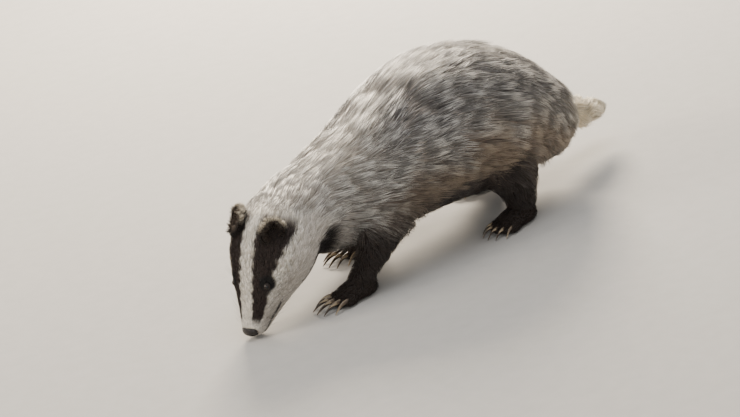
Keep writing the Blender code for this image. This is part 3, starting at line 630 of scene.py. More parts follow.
def unwrap(spot, points):
    """Where each spot lies on the skin's flat unwrap, with a field each for trunk, head, tail and legs."""
    around = (spot.angle + math.pi) / (2 * math.pi)
    u = 0.02 + 0.60 * spot.t / LAST
    v = 0.02 + 0.96 * around
    on_head = spot.head > 0.5
    u = np.where(on_head, 0.65 + 0.15 * np.clip(spot.back / 0.19, 0, 1), u)
    v = np.where(on_head, 0.02 + 0.50 * (spot.head_angle + math.pi) / (2 * math.pi), v)
    on_tail = spot.tail > 0.5
    u = np.where(on_tail, 0.65 + 0.15 * spot.tail_share, u)
    v = np.where(on_tail, 0.56 + 0.20 * around, v)
    on_leg = spot.leg_share > 0.5
    u = np.where(on_leg, 0.83 + 0.15 * (spot.leg_turn + math.pi) / (2 * math.pi), u)
    v = np.where(on_leg, 0.02 + 0.24 * spot.leg + 0.21 * np.clip(points[:, 2] / 0.10, 0, 1), v)
    return np.stack((u, v), axis=1)


def mesh_arrays(mesh):
    points = np.empty(len(mesh.vertices) * 3)
    mesh.vertices.foreach_get("co", points)
    normals = np.empty(len(mesh.vertices) * 3)
    mesh.vertices.foreach_get("normal", normals)
    mesh.calc_loop_triangles()
    corners = np.empty(len(mesh.loop_triangles) * 3, np.int32)
    mesh.loop_triangles.foreach_get("vertices", corners)
    return points.reshape(-1, 3), normals.reshape(-1, 3), corners.reshape(-1, 3)


def scatter(arrays, count, weight):
    """Seeded random places on a mesh, close together where weight is high, with their normals."""
    points, normals, corners = arrays
    a, b, c = (points[corners[:, i]] for i in range(3))
    area = np.linalg.norm(np.cross(b - a, c - a), axis=1)
    share = area * weight[corners].mean(axis=1)
    picked = rng.choice(len(area), int(count * FULL), p=share / share.sum())
    r = rng.random((len(picked), 2))
    r = np.where(r.sum(axis=1, keepdims=True) > 1, 1 - r, r)
    mix = np.stack((1 - r.sum(axis=1), r[:, 0], r[:, 1]), axis=1)
    spread = (points[corners[picked]] * mix[:, :, None]).sum(axis=1)
    up = unit((normals[corners[picked]] * mix[:, :, None]).sum(axis=1))
    return spread, up


def on_skin(tree, points):
    """The nearest place on the skin and its normal for each point."""
    places = np.empty_like(points)
    normals = np.empty_like(points)
    for i, p in enumerate(points):
        place, normal, _, _ = tree.find_nearest(p)
        places[i] = place
        normals[i] = normal
    return places, normals


RISE = (0.0, 0.55, 0.86, 1.0)  # how high a tuft stands at each of its sections, as a share of the coat
LONG_STEPS, SHORT_STEPS = (0.0, 0.30, 0.62, 1.0), (0.0, 0.55, 1.0)  # the sections of long and short tufts
LONG_TAPER, SHORT_TAPER = (0.85, 1.0, 0.62), (1.0, 0.72)  # their widths before the tip


def comb(tree, roots, normals, flow, length, height, steps, hold, sunk=0.0015):
    """The paths of tufts that lie along the skin: their points at each step from root to tip."""
    path = [roots - normals * sunk]
    lying = roots.copy()
    up = normals.copy()
    way = unit(flow - (flow * up).sum(axis=1, keepdims=True) * up)
    for i in range(1, len(steps)):
        stride = (length * (steps[i] - steps[i - 1]))[:, None]
        ahead, up_here = on_skin(tree, lying + way * stride)
        free = path[-1] + unit(way + np.array((0, 0, -0.25))) * stride
        height_here = (height * np.interp(steps[i], LONG_STEPS, RISE))[:, None]
        close = ahead + up_here * height_here
        path.append(close * hold[:, None] + free * (1 - hold[:, None]))
        lying = ahead
        up = up_here
        way = unit(way - (way * up).sum(axis=1, keepdims=True) * up)
    return path


def leaders_of(roots, every, stray):
    """Which tuft leads each tuft: one in so many leads those round it."""
    chosen = rng.permutation(len(roots))[:: every]
    tree = KDTree(len(chosen))
    for i, leader in enumerate(chosen):
        tree.insert(roots[leader], i)
    tree.balance()
    return chosen[[tree.find(r)[1] for r in roots + rng.normal(0, stray, roots.shape)]]


def clump(path, led_by, pull, keep=0.3):
    """Draws the tufts together towards their leaders, so that they fall in locks."""
    roots = path[0]
    apart = roots - roots[led_by]
    made = [roots]
    for points, share in zip(path[1:], pull):
        made.append(points * (1 - share) + (points[led_by] + apart * keep) * share)
    return made


def tuft_mesh(name, path, normals, width, thick, profile, facts, uv, material):
    """One mesh of closed tufts along the paths, each a flat three-sided taper that ends in a point."""
    count, rings = len(path[0]), len(path) - 1
    points = np.stack(path, axis=1)
    forward = unit(np.gradient(points, axis=1))
    up = normals[:, None, :]
    side = unit(np.cross(forward, up))
    over = np.cross(side, forward)
    w = (width[:, None] * np.array(profile))[:, :, None]
    h = w * thick
    middle, side, over = points[:, :-1], side[:, :-1], over[:, :-1]
    ring = np.stack((middle + side * w, middle + over * h, middle - side * w), axis=2)
    verts = np.concatenate((ring.reshape(count, rings * 3, 3), points[:, -1:, :]), axis=1)
    verts[:, :, 2] = np.maximum(verts[:, :, 2], LOWEST)
    verts += np.array(HOME)
    per = rings * 3 + 1
    quads, tris = [], [(0, 1, 2)]
    for r in range(rings - 1):
        a = r * 3
        for i in range(3):
            j = (i + 1) % 3
            quads.append((a + i, a + 3 + i, a + 3 + j, a + j))
    a = (rings - 1) * 3
    for i in range(3):
        tris.append((a + i, per - 1, a + (i + 1) % 3))
    quads, tris = np.array(quads), np.array(tris)
    base = (np.arange(count) * per)[:, None, None]
    loops = np.concatenate([(faces[None] + base).reshape(count, -1) for faces in (quads, tris)], axis=1)
    sizes = np.tile(np.array([4] * len(quads) + [3] * len(tris)), count)
    mesh = bpy.data.meshes.new(name)
    mesh.vertices.add(count * per)
    mesh.vertices.foreach_set("co", verts.ravel())
    mesh.loops.add(loops.size)
    mesh.loops.foreach_set("vertex_index", loops.ravel().astype(np.int32))
    mesh.polygons.add(len(sizes))
    mesh.polygons.foreach_set("loop_start", (np.cumsum(sizes) - sizes).astype(np.int32))
    mesh.update(calc_edges=True)
    # Every tuft has its own patch, laid at its root's place on the unwrapped skin
    across = np.tile((-0.5, 0.0, 0.5), rings)
    steps = np.repeat(np.linspace(-0.5, 0.36, rings), 3)
    patch = np.stack((np.append(across, 0.0), np.append(steps, 0.5)), axis=1) * 0.003
    coords = uv[:, None, :] + patch[None]
    layer = mesh.uv_layers.new(name="OFBake")
    layer.uv.foreach_set("vector", coords.reshape(-1, 2)[loops.ravel()].ravel().astype(np.float32))
    along = np.append(np.repeat(np.linspace(0, 1, rings + 1)[:-1], 3), 1.0)
    put(mesh, "along", np.tile(along, count))
    for key, values in facts.items():
        put(mesh, key, np.repeat(values, per, axis=0))
    mesh.validate()
    return placed(name, mesh, material)


def put(mesh, name, values):
    """Stores a number or a colour for each vertex."""
    values = np.asarray(values, np.float32)
    if values.ndim == 1:
        mesh.attributes.new(name, "FLOAT", "POINT").data.foreach_set("value", values)
    else:
        colours = np.concatenate((values, np.ones((len(values), 1), np.float32)), axis=1)
        mesh.attributes.new(name, "FLOAT_COLOR", "POINT").data.foreach_set("color", colours.ravel())


# Materials
def feed(tree, made, inputs):
    """Sets the plain values of a node's inputs and links the others to the outputs that feed them."""
    for key, value in inputs.items():
        if isinstance(value, bpy.types.NodeSocket):
            tree.links.new(value, made.inputs[key])
        else:
            made.inputs[key].default_value = value


def node(tree, kind, inputs=None, stops=(), **settings):
    """Adds a node with its settings, its values and links, and the colours of a ramp."""
    made = tree.nodes.new(kind)
    for key, value in settings.items():
        setattr(made, key, value)
    feed(tree, made, inputs or {})
    for i, (position, code) in enumerate(stops):
        ramp = made.color_ramp.elements
        stop = ramp[i] if i < len(ramp) else ramp.new(position)
        stop.position = position
        stop.color = (*srgb(code), 1)
    return made


def new_material(name):
    """A new material with its node tree, its shader and the place of each point on the piece."""
    material = bpy.data.materials.new(name)
    material.use_nodes = True
    tree = material.node_tree
    place = node(tree, "ShaderNodeTexCoord").outputs["Object"]
    return material, tree, tree.nodes["Principled BSDF"], place


BAND = {"rise": (0.34, 0.52, 0.0, 1.0), "fall": (0.74, 0.88, 1.0, 0.0), "ends": (0.45, 0.80, 0.0, 1.0)}
LIMITS = ("From Min", "From Max", "To Min", "To Max")


def hair_material(name, roughness, specular, sheen):
    """Coarse animal hair: keratin, pale at the root, dark in a band and pale again at the tip."""
    material, tree, shader, place = new_material(name)
    root, band, tip = (
        node(tree, "ShaderNodeAttribute", attribute_name=key).outputs["Color"]
        for key in ("root_colour", "band_colour", "tip_colour")
    )
    along, strength, tone = (
        node(tree, "ShaderNodeAttribute", attribute_name=key).outputs["Fac"]
        for key in ("along", "band_share", "tone")
    )
    # The band sits higher on some tufts than on others
    slid = node(tree, "ShaderNodeMath", {0: tone, 1: -0.5}, operation="ADD").outputs[0]
    slid = node(tree, "ShaderNodeMath", {0: slid, 1: 0.22, 2: along}, operation="MULTIPLY_ADD").outputs[0]
    ease = {}
    for key, limits in BAND.items():
        values = {"Value": slid, **dict(zip(LIMITS, limits))}
        ease[key] = node(tree, "ShaderNodeMapRange", values, interpolation_type="SMOOTHSTEP").outputs[0]
    dark = node(tree, "ShaderNodeMath", {0: ease["rise"], 1: ease["fall"]}, operation="MULTIPLY").outputs[0]
    dark = node(tree, "ShaderNodeMath", {0: dark, 1: strength}, operation="MULTIPLY").outputs[0]
    base = node(tree, "ShaderNodeMix", {0: ease["ends"], 6: root, 7: tip}, data_type="RGBA").outputs[2]
    base = node(tree, "ShaderNodeMix", {0: dark, 6: base, 7: band}, data_type="RGBA").outputs[2]
    # Streaks about 4 mm long, as single hairs are too fine to show
    streak = node(tree, "ShaderNodeTexNoise", {"Vector": place, "Scale": 260.0, "Detail": 2.0}).outputs["Fac"]
    value = node(tree, "ShaderNodeMath", {0: tone, 1: 0.5, 2: 0.62}, operation="MULTIPLY_ADD").outputs[0]
    value = node(tree, "ShaderNodeMath", {0: streak, 1: 0.30, 2: value}, operation="MULTIPLY_ADD").outputs[0]
    shade = node(tree, "ShaderNodeHueSaturation", {"Value": value, "Color": base}).outputs["Color"]
    values = {"Value": streak, "To Min": roughness - 0.08, "To Max": roughness + 0.10}
    feed(tree, shader, {
        "Base Color": shade, "Roughness": node(tree, "ShaderNodeMapRange", values).outputs[0], "IOR": 1.55,
        "Specular IOR Level": specular, "Sheen Weight": sheen, "Sheen Roughness": 0.5,
    })
    return material


def skin_material(name):
    """Skin under the fur, with the short underwool's fine mottle, about 2 mm across, and a slight bump."""
    material, tree, shader, place = new_material(name)
    colour = node(tree, "ShaderNodeAttribute", attribute_name="skin_colour").outputs["Color"]
    grain = {"Vector": place, "Scale": 420.0, "Detail": 4.0, "Roughness": 0.65}
    wool = node(tree, "ShaderNodeTexNoise", grain).outputs["Fac"]
    values = {"Value": wool, **dict(zip(LIMITS, (0.3, 0.7, 0.7, 1.25)))}
    value = node(tree, "ShaderNodeMapRange", values).outputs[0]
    shade = node(tree, "ShaderNodeHueSaturation", {"Value": value, "Color": colour}).outputs["Color"]
    raised = {"Height": wool, "Strength": 0.6, "Distance": 0.0015}
    feed(tree, shader, {
        "Base Color": shade,
        "Normal": node(tree, "ShaderNodeBump", raised).outputs["Normal"],
        "Roughness": 0.85, "Specular IOR Level": 0.2,
    })
    return material


def nose_material():
    """Moist bare nose skin, pebbled about a millimetre across, dark grey-brown, with painted shade near black
    in the nostrils, slits and groove.
    """
    material, tree, shader, place = new_material("moist_nose_skin")
    pebble = node(tree, "ShaderNodeTexVoronoi", {"Vector": place, "Scale": 700.0}).outputs["Distance"]
    pit = node(tree, "ShaderNodeAttribute", attribute_name="pit").outputs["Fac"]
    tint = node(tree, "ShaderNodeTexNoise", {"Vector": place, "Scale": 160.0, "Detail": 3.0}).outputs["Fac"]
    stops = ((0.0, "#0f0c0b"), (1.0, "#241d1b"))
    bare = node(tree, "ShaderNodeValToRGB", {"Fac": tint}, stops).outputs["Color"]
    # Painted shade: the sunk nostrils, slits and groove are mixed towards near black
    pit_shade_colour = (*srgb("#050404"), 1)
    raised = {"Height": pebble, "Strength": 0.7, "Distance": 0.0007}
    damp = {"Value": tint, "To Min": 0.22, "To Max": 0.45}
    feed(tree, shader, {
        "Base Color": node(tree, "ShaderNodeMix", {0: pit, 6: bare, 7: pit_shade_colour}, data_type="RGBA").outputs[2],
        "Normal": node(tree, "ShaderNodeBump", raised, invert=True).outputs["Normal"],
        "Roughness": node(tree, "ShaderNodeMapRange", damp).outputs[0],
        "Specular IOR Level": 0.35, "Coat Weight": 0.2, "Coat Roughness": 0.2,
    })
    return material


def lid_material():
    """Bare dark rim skin of lids and lips, finely creased and slightly damp."""
    material, tree, shader, place = new_material("dark_rim_skin")
    crease = node(tree, "ShaderNodeTexNoise", {"Vector": place, "Scale": 900.0, "Detail": 3.0}).outputs["Fac"]
    stops = ((0.0, "#0f0c0b"), (1.0, "#2a221f"))
    raised = {"Height": crease, "Strength": 0.4, "Distance": 0.0003}
    feed(tree, shader, {
        "Base Color": node(tree, "ShaderNodeValToRGB", {"Fac": crease}, stops).outputs["Color"],
        "Normal": node(tree, "ShaderNodeBump", raised).outputs["Normal"],
        "Roughness": 0.55, "Specular IOR Level": 0.3,
    })
    return material


def eye_material():
    """Dark brown iris round a black pupil under a clear, wet cornea."""
    material, tree, shader, place = new_material("wet_dark_eye")
    gaze = node(tree, "ShaderNodeAttribute", attribute_name="gaze").outputs["Fac"]
    stops = ((0.30, "#020202"), (0.36, "#1f120a"), (0.62, "#1a0f09"), (0.72, "#080605"))
    rings = node(tree, "ShaderNodeValToRGB", {"Fac": gaze}, stops).outputs["Color"]
    fibre = node(tree, "ShaderNodeTexNoise", {"Vector": place, "Scale": 1500.0}).outputs["Fac"]
    value = node(tree, "ShaderNodeMapRange", {"Value": fibre, "To Min": 0.7, "To Max": 1.3}).outputs[0]
    shade = node(tree, "ShaderNodeHueSaturation", {"Value": value, "Color": rings}).outputs["Color"]
    feed(tree, shader, {
        "Base Color": shade,
        "Roughness": 0.35, "Specular IOR Level": 0.15,
        "Coat Weight": 0.7, "Coat Roughness": 0.015, "Coat IOR": 1.38,
    })
    return material


def claw_material():
    """Horn of the claws: dark grey-brown at the root, worn paler and yellowish towards the tip."""
    material, tree, shader, place = new_material("worn_claw_horn")
    along = node(tree, "ShaderNodeAttribute", attribute_name="along").outputs["Fac"]
    grain = node(tree, "ShaderNodeTexNoise", {"Vector": place, "Scale": 500.0, "Detail": 3.0}).outputs["Fac"]
    worn = node(tree, "ShaderNodeMath", {0: grain, 1: 0.05, 2: along}, operation="MULTIPLY_ADD").outputs[0]
    stops = ((0.12, "#2a221b"), (0.60, "#5f5040"), (1.0, "#a8977a"))
    raised = {"Height": grain, "Strength": 0.3, "Distance": 0.0003}
    feed(tree, shader, {
        "Base Color": node(tree, "ShaderNodeValToRGB", {"Fac": worn}, stops).outputs["Color"],
        "Normal": node(tree, "ShaderNodeBump", raised).outputs["Normal"],
        "Roughness": 0.38,
    })
    return material


# Finer features
NOSE_PAD = (-0.0085, 0.0, 0.0130), (0.0098, 0.0122, 0.0108)  # centre and half sizes on the head
NOSTRIL = (0.0050, 0.0136), (0.0021, 0.0022)  # place sideways and up, and half sizes
SIDE_SLIT = (0.0088, 0.0120), (0.0024, 0.0009)


def make_nose(material):
    """The bare nose pad with its two nostrils, their side slits and the groove under them, which carry
    painted shade.
    """
    centre, radii = Vector(NOSE_PAD[0]), NOSE_PAD[1]
    pit_shades = []

    def place(s, a):
        theta = s * math.pi
        d = Vector((math.cos(theta), math.sin(theta) * math.sin(a), math.sin(theta) * math.cos(a)))
        p = centre + Vector((d.x * radii[0], d.y * radii[1], d.z * radii[2]))
        # dark is painted shade: the deeper the nostrils, slits and groove sink, the darker they are painted
        depth, dark = 0.0, 0.0
        if d.x > -0.2:
            for side in SIDES:
                hole, slit = (
                    math.exp(-(((p.y - side * at[0]) / reach[0]) ** 2) - ((p.z - at[1]) / reach[1]) ** 2)
                    for at, reach in (NOSTRIL, SIDE_SLIT)
                )
                depth += 0.0034 * hole + 0.0016 * slit
                dark += hole + 0.8 * slit
            groove = math.exp(-((p.y / 0.0007) ** 2)) * float(smooth(-p.z, -0.0125, -0.0085))
            depth += 0.0010 * groove
            dark += 0.6 * groove
        brow = 0.0008 * math.exp(-(((p.z - 0.0185) / 0.002) ** 2)) * (1 if d.x > 0 else 0)
        p = p - d * (depth - brow)
        pit_shades.append(min(dark, 1.0))
        return HEAD_PLACE @ p

    bm = bmesh.new()
    wrapped(bm, 96, 64, place)
    piece = finished("nose_pad", bm, material, "nose", slot="nose_skin")
    put(piece.data, "pit", np.array(pit_shades))


def make_lips(material):
    """Two thin rolls of dark skin on each side, with the line of the mouth between them."""
    crown = HEAD_TURN @ Vector((0, 0, 1))
    bm = bmesh.new()
    for height in (0.0012, -0.0012):
        for side in SIDES:

            def place(s, a, height=height, side=side):
                u = capped(s, 48)
                back = MOUTH_FRONT + (MOUTH_CORNER - MOUTH_FRONT) * u
                rise = height * (1 - 0.6 * float(smooth(u, 0.8, 1.0))) + 0.003 * float(smooth(u, 0.75, 1.0))
                angle = side * mouth_angle(back, rise)
                centre = head_point(back, angle, -0.0016)
                if at_pole(s):
                    return centre
                radius = 0.0015 * min(1.0, 0.55 + 2 * u) * (1 - 0.55 * float(smooth(u, 0.7, 1.0)))
                normal = head_normal(back, angle)
                up = (crown - normal * crown.dot(normal)).normalized()
                return centre + up * (radius * math.sin(a)) + normal * (radius * math.cos(a))

            wrapped(bm, 12, 48, place)
    finished("lips", bm, material, slot="nose_skin")


def eye_axes(side):
    normal = head_normal(EYE_BACK, side * EYE_ANGLE)
    forward = HEAD_TURN @ Vector((1, 0, -0.25))
    forward = (forward - normal * forward.dot(normal)).normalized()
    return normal, forward, normal.cross(forward)


def make_eye(side, material):
    """A whole eyeball with a slightly raised cornea."""
    normal, forward, across = eye_axes(side)
    centre = eye_centre(side)
    gaze = []

    def place(s, a):
        theta = s * math.pi
        radius = EYE_RADIUS * (1 + 0.05 * math.exp(-((theta / 0.55) ** 2)))
        gaze.append(theta / math.pi * 2)
        out = forward * (math.sin(theta) * math.cos(a)) + across * (math.sin(theta) * math.sin(a))
        return centre + (normal * math.cos(theta) + out) * radius

    bm = bmesh.new()
    wrapped(bm, 40, 30, place)
    name = "eye_" + SIDES[side]
    piece = finished(name + "_ball", bm, material, name, slot="glass_eye")
    put(piece.data, "gaze", np.array(gaze))


def make_lids(side, material):
    """The rim of an eye, long from front to back, the upper lid a little heavier."""
    normal, forward, across = eye_axes(side)
    up = across if across.z > 0 else -across
    centre = head_point(EYE_BACK, side * EYE_ANGLE) - normal * 0.0016
    bm = bmesh.new()
    ring = bmesh.ops.create_circle(bm, cap_ends=False, segments=12, radius=1.0)["verts"]
    edges = list(bm.edges)
    bmesh.ops.transform(bm, matrix=Matrix.Rotation(math.radians(90), 4, "X"), verts=ring)
    bmesh.ops.translate(bm, vec=(4, 0, 0), verts=ring)
    bmesh.ops.spin(
        bm, geom=ring + edges, cent=(0, 0, 0), axis=(0, 0, 1), dvec=(0, 0, 0),
        angle=2 * math.pi, steps=40, use_merge=True, use_duplicate=False,
    )
    for v in bm.verts:
        a = math.atan2(v.co.y, v.co.x)
        b = math.atan2(v.co.z, math.hypot(v.co.x, v.co.y) - 4)
        heavy = 1.0 + 0.35 * max(math.sin(a), 0.0)
        pinch = 1 - 0.30 * abs(math.cos(a)) ** 3
        fold = 1 + 0.10 * math.sin(11 * a + 2 * math.sin(b)) + 0.06 * math.sin(23 * a)
        out = forward * math.cos(a) + up * math.sin(a)
        corner = 0.0009 * max(math.cos(a), 0.0) ** 12
        middle = centre + forward * (LID_LENGTH * math.cos(a) + corner)
        middle += up * (LID_HEIGHT * math.sin(a) * pinch)
        v.co = middle + out * (0.0010 * fold * math.cos(b)) + normal * (0.0014 * heavy * fold * math.sin(b))
    finished("eyelid_" + SIDES[side], bm, material, slot="nose_skin")


def make_claws(material):
    """Long digging claws in front and shorter ones behind, curved, thin sideways and blunt at the tip."""
    for name in LEGS:
        _, _, _, _, _, claw_length, claw_radius = paw_facts(name)
        bm = bmesh.new()
        shares = []
        for i, (centre, ahead, fan) in enumerate(toe_places(name)):
            root = centre + ahead * 0.004 + Vector((0, 0, 0.0020))
            length = claw_length * (0.86 if i in (0, 4) else 1.0) + 0.008
            side = fan @ Vector((0, 1, 0))

            def place(s, a, root=root, length=length, ahead=ahead, side=side):
                u = capped(s, 22)
                shares.append(u)
                centre = root + ahead * (length * u)
                centre.z = root.z + (0.0016 - root.z) * u**2.2 + 0.0018 * math.sin(math.pi * u)
                if at_pole(s):
                    return centre
                radius = claw_radius * 0.92 * max(1 - u, 0.0) ** 0.55 + 0.00045
                keel = 1.0 if math.sin(a) > 0 else 0.72
                p = centre + side * (radius * 0.62 * math.cos(a))
                p.z += radius * keel * math.sin(a)
                p.z = max(p.z, LOWEST)
                return p

            wrapped(bm, 16, 22, place)
        piece = finished("claws_" + name.replace("leg", "paw"), bm, material, slot="dark_leg_fur")
        put(piece.data, "along", np.array(shares))


EAR_TAPER = (1.0, 0.75)


def ear_axes(side):
    up = EAR_WAY[side].normalized()
    front = Vector((0.80, side * 0.55, 0.05))
    front = (front - up * front.dot(up)).normalized()
    return HEAD_TURN @ front.cross(up), HEAD_TURN @ front, HEAD_TURN @ up


def make_ear(side, skin, fur):
    """A rounded cup with a thin rolled rim, open to the front, and its own short fur with a pale fringe."""
    across, front, up = ear_axes(side)
    centre = head_point(EAR_BACK[side], side * EAR_ANGLE[side], 0.0055)
    half_wide, half_deep, half_tall = 0.0168, 0.0100, EAR_HEIGHT / 2 - 0.0005
    wall = 0.0018

    def place(s, a):
        inner = s > 0.5
        theta = math.radians(104) * (1 - abs(2 * s - 1))
        less = wall if inner else 0.0
        x = (half_wide - less) * math.sin(theta) * math.cos(a)
        z = (half_tall - less) * math.sin(theta) * math.sin(a)
        y = -(half_deep - less) * math.cos(theta) + 0.0012 * math.sin(3 * a) * math.sin(theta) ** 2
        return centre + across * x + front * y + up * z

    bm = bmesh.new()
    wrapped(bm, 48, 36, place)
    name = "ear_" + SIDES[side]
    cup = settled(bm, name + "_cup")
    arrays = mesh_arrays(cup)
    off = arrays[0] - np.array(centre)
    put(cup, "skin_colour", np.tile(srgb("#241c18"), (len(off), 1)))
    cup.transform(Matrix.Translation(HOME))
    placed(cup.name, cup, skin, name, slot="ear_skin_and_fur")
    weight = 1.0 + 2.0 * smooth(np.hypot(off @ np.array(across), off @ np.array(up)), 0.012, 0.019)
    roots, out = scatter(arrays, EAR_TUFTS, weight)
    off = roots - np.array(centre)
    tall, wide = off @ np.array(up), off @ np.array(across)
    n = len(roots)
    strands = leaders_of(roots, 9, 0.0010)
    edge = smooth(np.hypot(wide / half_wide, tall / half_tall), 0.84, 1.0)
    inside = smooth(out @ np.array(front), -0.1, 0.3) * (1 - edge)
    # Hair of the back and rim runs up and out, hair inside leans out of the cup and across it
    rising = unit(np.outer(wide * 0.8, np.array(across)) + np.outer(tall + 0.014, np.array(up)))
    crossing = np.outer(-wide / half_wide * 0.6, np.array(across))
    crossing = unit(np.array(front) * 0.9 + crossing + np.array(up) * 0.5)
    flow = rising * (1 - inside[:, None]) + crossing * inside[:, None]
    flow = unit(flow + 0.30 * out + rng.normal(0, 0.10, (n, 3)) + rng.normal(0, 0.16, (n, 3))[strands])
    length = (0.0050 + 0.0016 * edge + 0.0045 * inside) * rng.uniform(0.6, 1.2, n)
    length = length * rng.uniform(0.7, 1.25, n)[strands]
    path = [roots - out * 0.0006]
    for share in (0.55, 1.0):
        path.append(roots + flow * (length * share)[:, None] + out * (0.0008 * share))
    path = clump(path, strands, (0.15, 0.45), 0.4)
    pale = edge * smooth(tall, 0.000, 0.011) * np.where(rng.random(n) < 0.12, 0.2, 1.0)
    dark, cream = np.array(srgb("#211915")), np.array(srgb("#e8dcc6"))
    inner_tone = np.array(srgb("#6f6052"))
    tip = dark * (1 - pale[:, None]) + cream * pale[:, None]
    tip = tip * (1 - 0.7 * inside[:, None]) + inner_tone * 0.7 * inside[:, None]
    tip = tip * rng.uniform(0.7, 1.1, (n, 1)) * rng.uniform(0.8, 1.1, (n, 1))[strands]
    facts = {
        "root_colour": tip * 0.7, "band_colour": tip * 0.7, "tip_colour": tip,
        "band_share": np.full(n, 0.2), "tone": rng.random(n),
    }
    across_uv = 0.65 + 0.035 * (wide / half_wide + 1) + (0.0 if side > 0 else 0.08)
    uv = np.stack((across_uv, 0.80 + 0.08 * (tall / half_tall + 1)), axis=1)
    tuft_mesh(name + "_fur", path, out, rng.uniform(0.00026, 0.00042, n), 0.5, EAR_TAPER, facts, uv, fur)


def make_whiskers(material):
    """A few stiff dark whiskers on the lips, the cheeks and over the eyes."""
    nose_way = HEAD_TURN @ Vector((1, 0, 0))
    roots, flows, outs, lengths = [], [], [], []
    for side in SIDES:
        for row in range(3):
            for i in range(5):
                back = 0.014 + 0.0055 * i + 0.001 * row
                angle = side * (1.25 + 0.20 * row + 0.05 * rng.normal())
                normal = head_normal(back, angle)
                roots.append(head_point(back, angle, -0.001))
                outs.append(normal)
                flows.append((normal * 0.85 - nose_way * (0.55 + 0.1 * i)).normalized())
                lengths.append(0.016 + 0.004 * i + 0.004 * rng.random())
        for i in range(3):
            back = EYE_BACK + 0.006 + 0.002 * i
            angle = side * (EYE_ANGLE - 0.26 - 0.05 * i)
            roots.append(head_point(back, angle, -0.001))
            outs.append(head_normal(back, angle))
            flows.append((outs[-1] * 0.8 - nose_way * 0.6).normalized())
            lengths.append(0.020 + 0.004 * rng.random())
    roots, flows, outs = (np.array([tuple(v) for v in group]) for group in (roots, flows, outs))
    lengths = np.array(lengths)[:, None]
    path = [roots - outs * 0.001]
    for share in (0.35, 0.7, 1.0):
        droop = (np.array((0, 0, -0.10)) - np.array(nose_way) * 0.25) * share**2
        path.append(roots + (flows * share + droop) * lengths)
    n = len(roots)
    colour = np.tile(srgb("#1a1512"), (n, 1))
    facts = {
        "root_colour": colour, "band_colour": colour, "tip_colour": colour * 2.0,
        "band_share": np.zeros(n), "tone": rng.random(n),
    }
    uv = np.tile((0.9, 0.98), (n, 1))
    tuft_mesh("whiskers", path, outs, np.full(n, 0.00028), 0.9, (1.0, 0.8, 0.5), facts, uv, material)


# The badger's skin and coat
FLESH = ("head", "jaw", "neck", "torso", "tail")
LIMBS = tuple(LEGS) + tuple(name.replace("leg", "paw") for name in LEGS)


def make_skin(mesh, material):
    points, _, _ = mesh_arrays(mesh)
    root, band, _, _ = banded(spots(points), points)
    put(mesh, "skin_colour", (0.6 * root + 0.4 * band) * 0.7)
    mesh.transform(Matrix.Translation(HOME))
    placed("badger_skin", mesh, material, *FLESH, *LIMBS, slot="grey_guard_hair")


def coat_facts(spot, roots, led_by, vary=0.07):
    """Colours of the tufts. Those of one lock are a little darker or paler together."""
    root, band, tip, strength = banded(spot, roots)
    n = len(roots)
    mood = rng.normal(1.0, vary, (n, 1))
    slide = 0.85 * rng.random(n)
    mood = mood * rng.normal(1.0, 0.05, (n, 1))[led_by]
    slide = slide + 0.15 * rng.random(n)[led_by]
    return {
        "root_colour": root * mood, "band_colour": band * mood, "tip_colour": tip * mood,
        "band_share": strength * rng.uniform(0.75, 1.0, n), "tone": slide,
    }


def take(values, rows):
    """The chosen rows of all arrays in a dictionary or a list."""
    if isinstance(values, dict):
        return {key: v[rows] for key, v in values.items()}
    return [v[rows] for v in values]


def tuft_pieces(parts, path, normals, width, thick, profile, facts, uv, material):
    """Makes a piece of each named part of the tufts."""
    for name, rows in parts:
        chosen = take(path, rows), normals[rows], width[rows]
        tuft_mesh(name, *chosen, thick, profile, take(facts, rows), uv[rows], material)


def lean(flow, normals, spread, led_by, lock_spread):
    """Turns each tuft's way a little about the skin's normal, one by one and lock by lock."""
    turn = rng.normal(0, spread, len(flow))
    turn = turn + rng.normal(0, lock_spread, len(flow))[led_by]
    return unit(flow + np.cross(normals, flow) * turn[:, None])


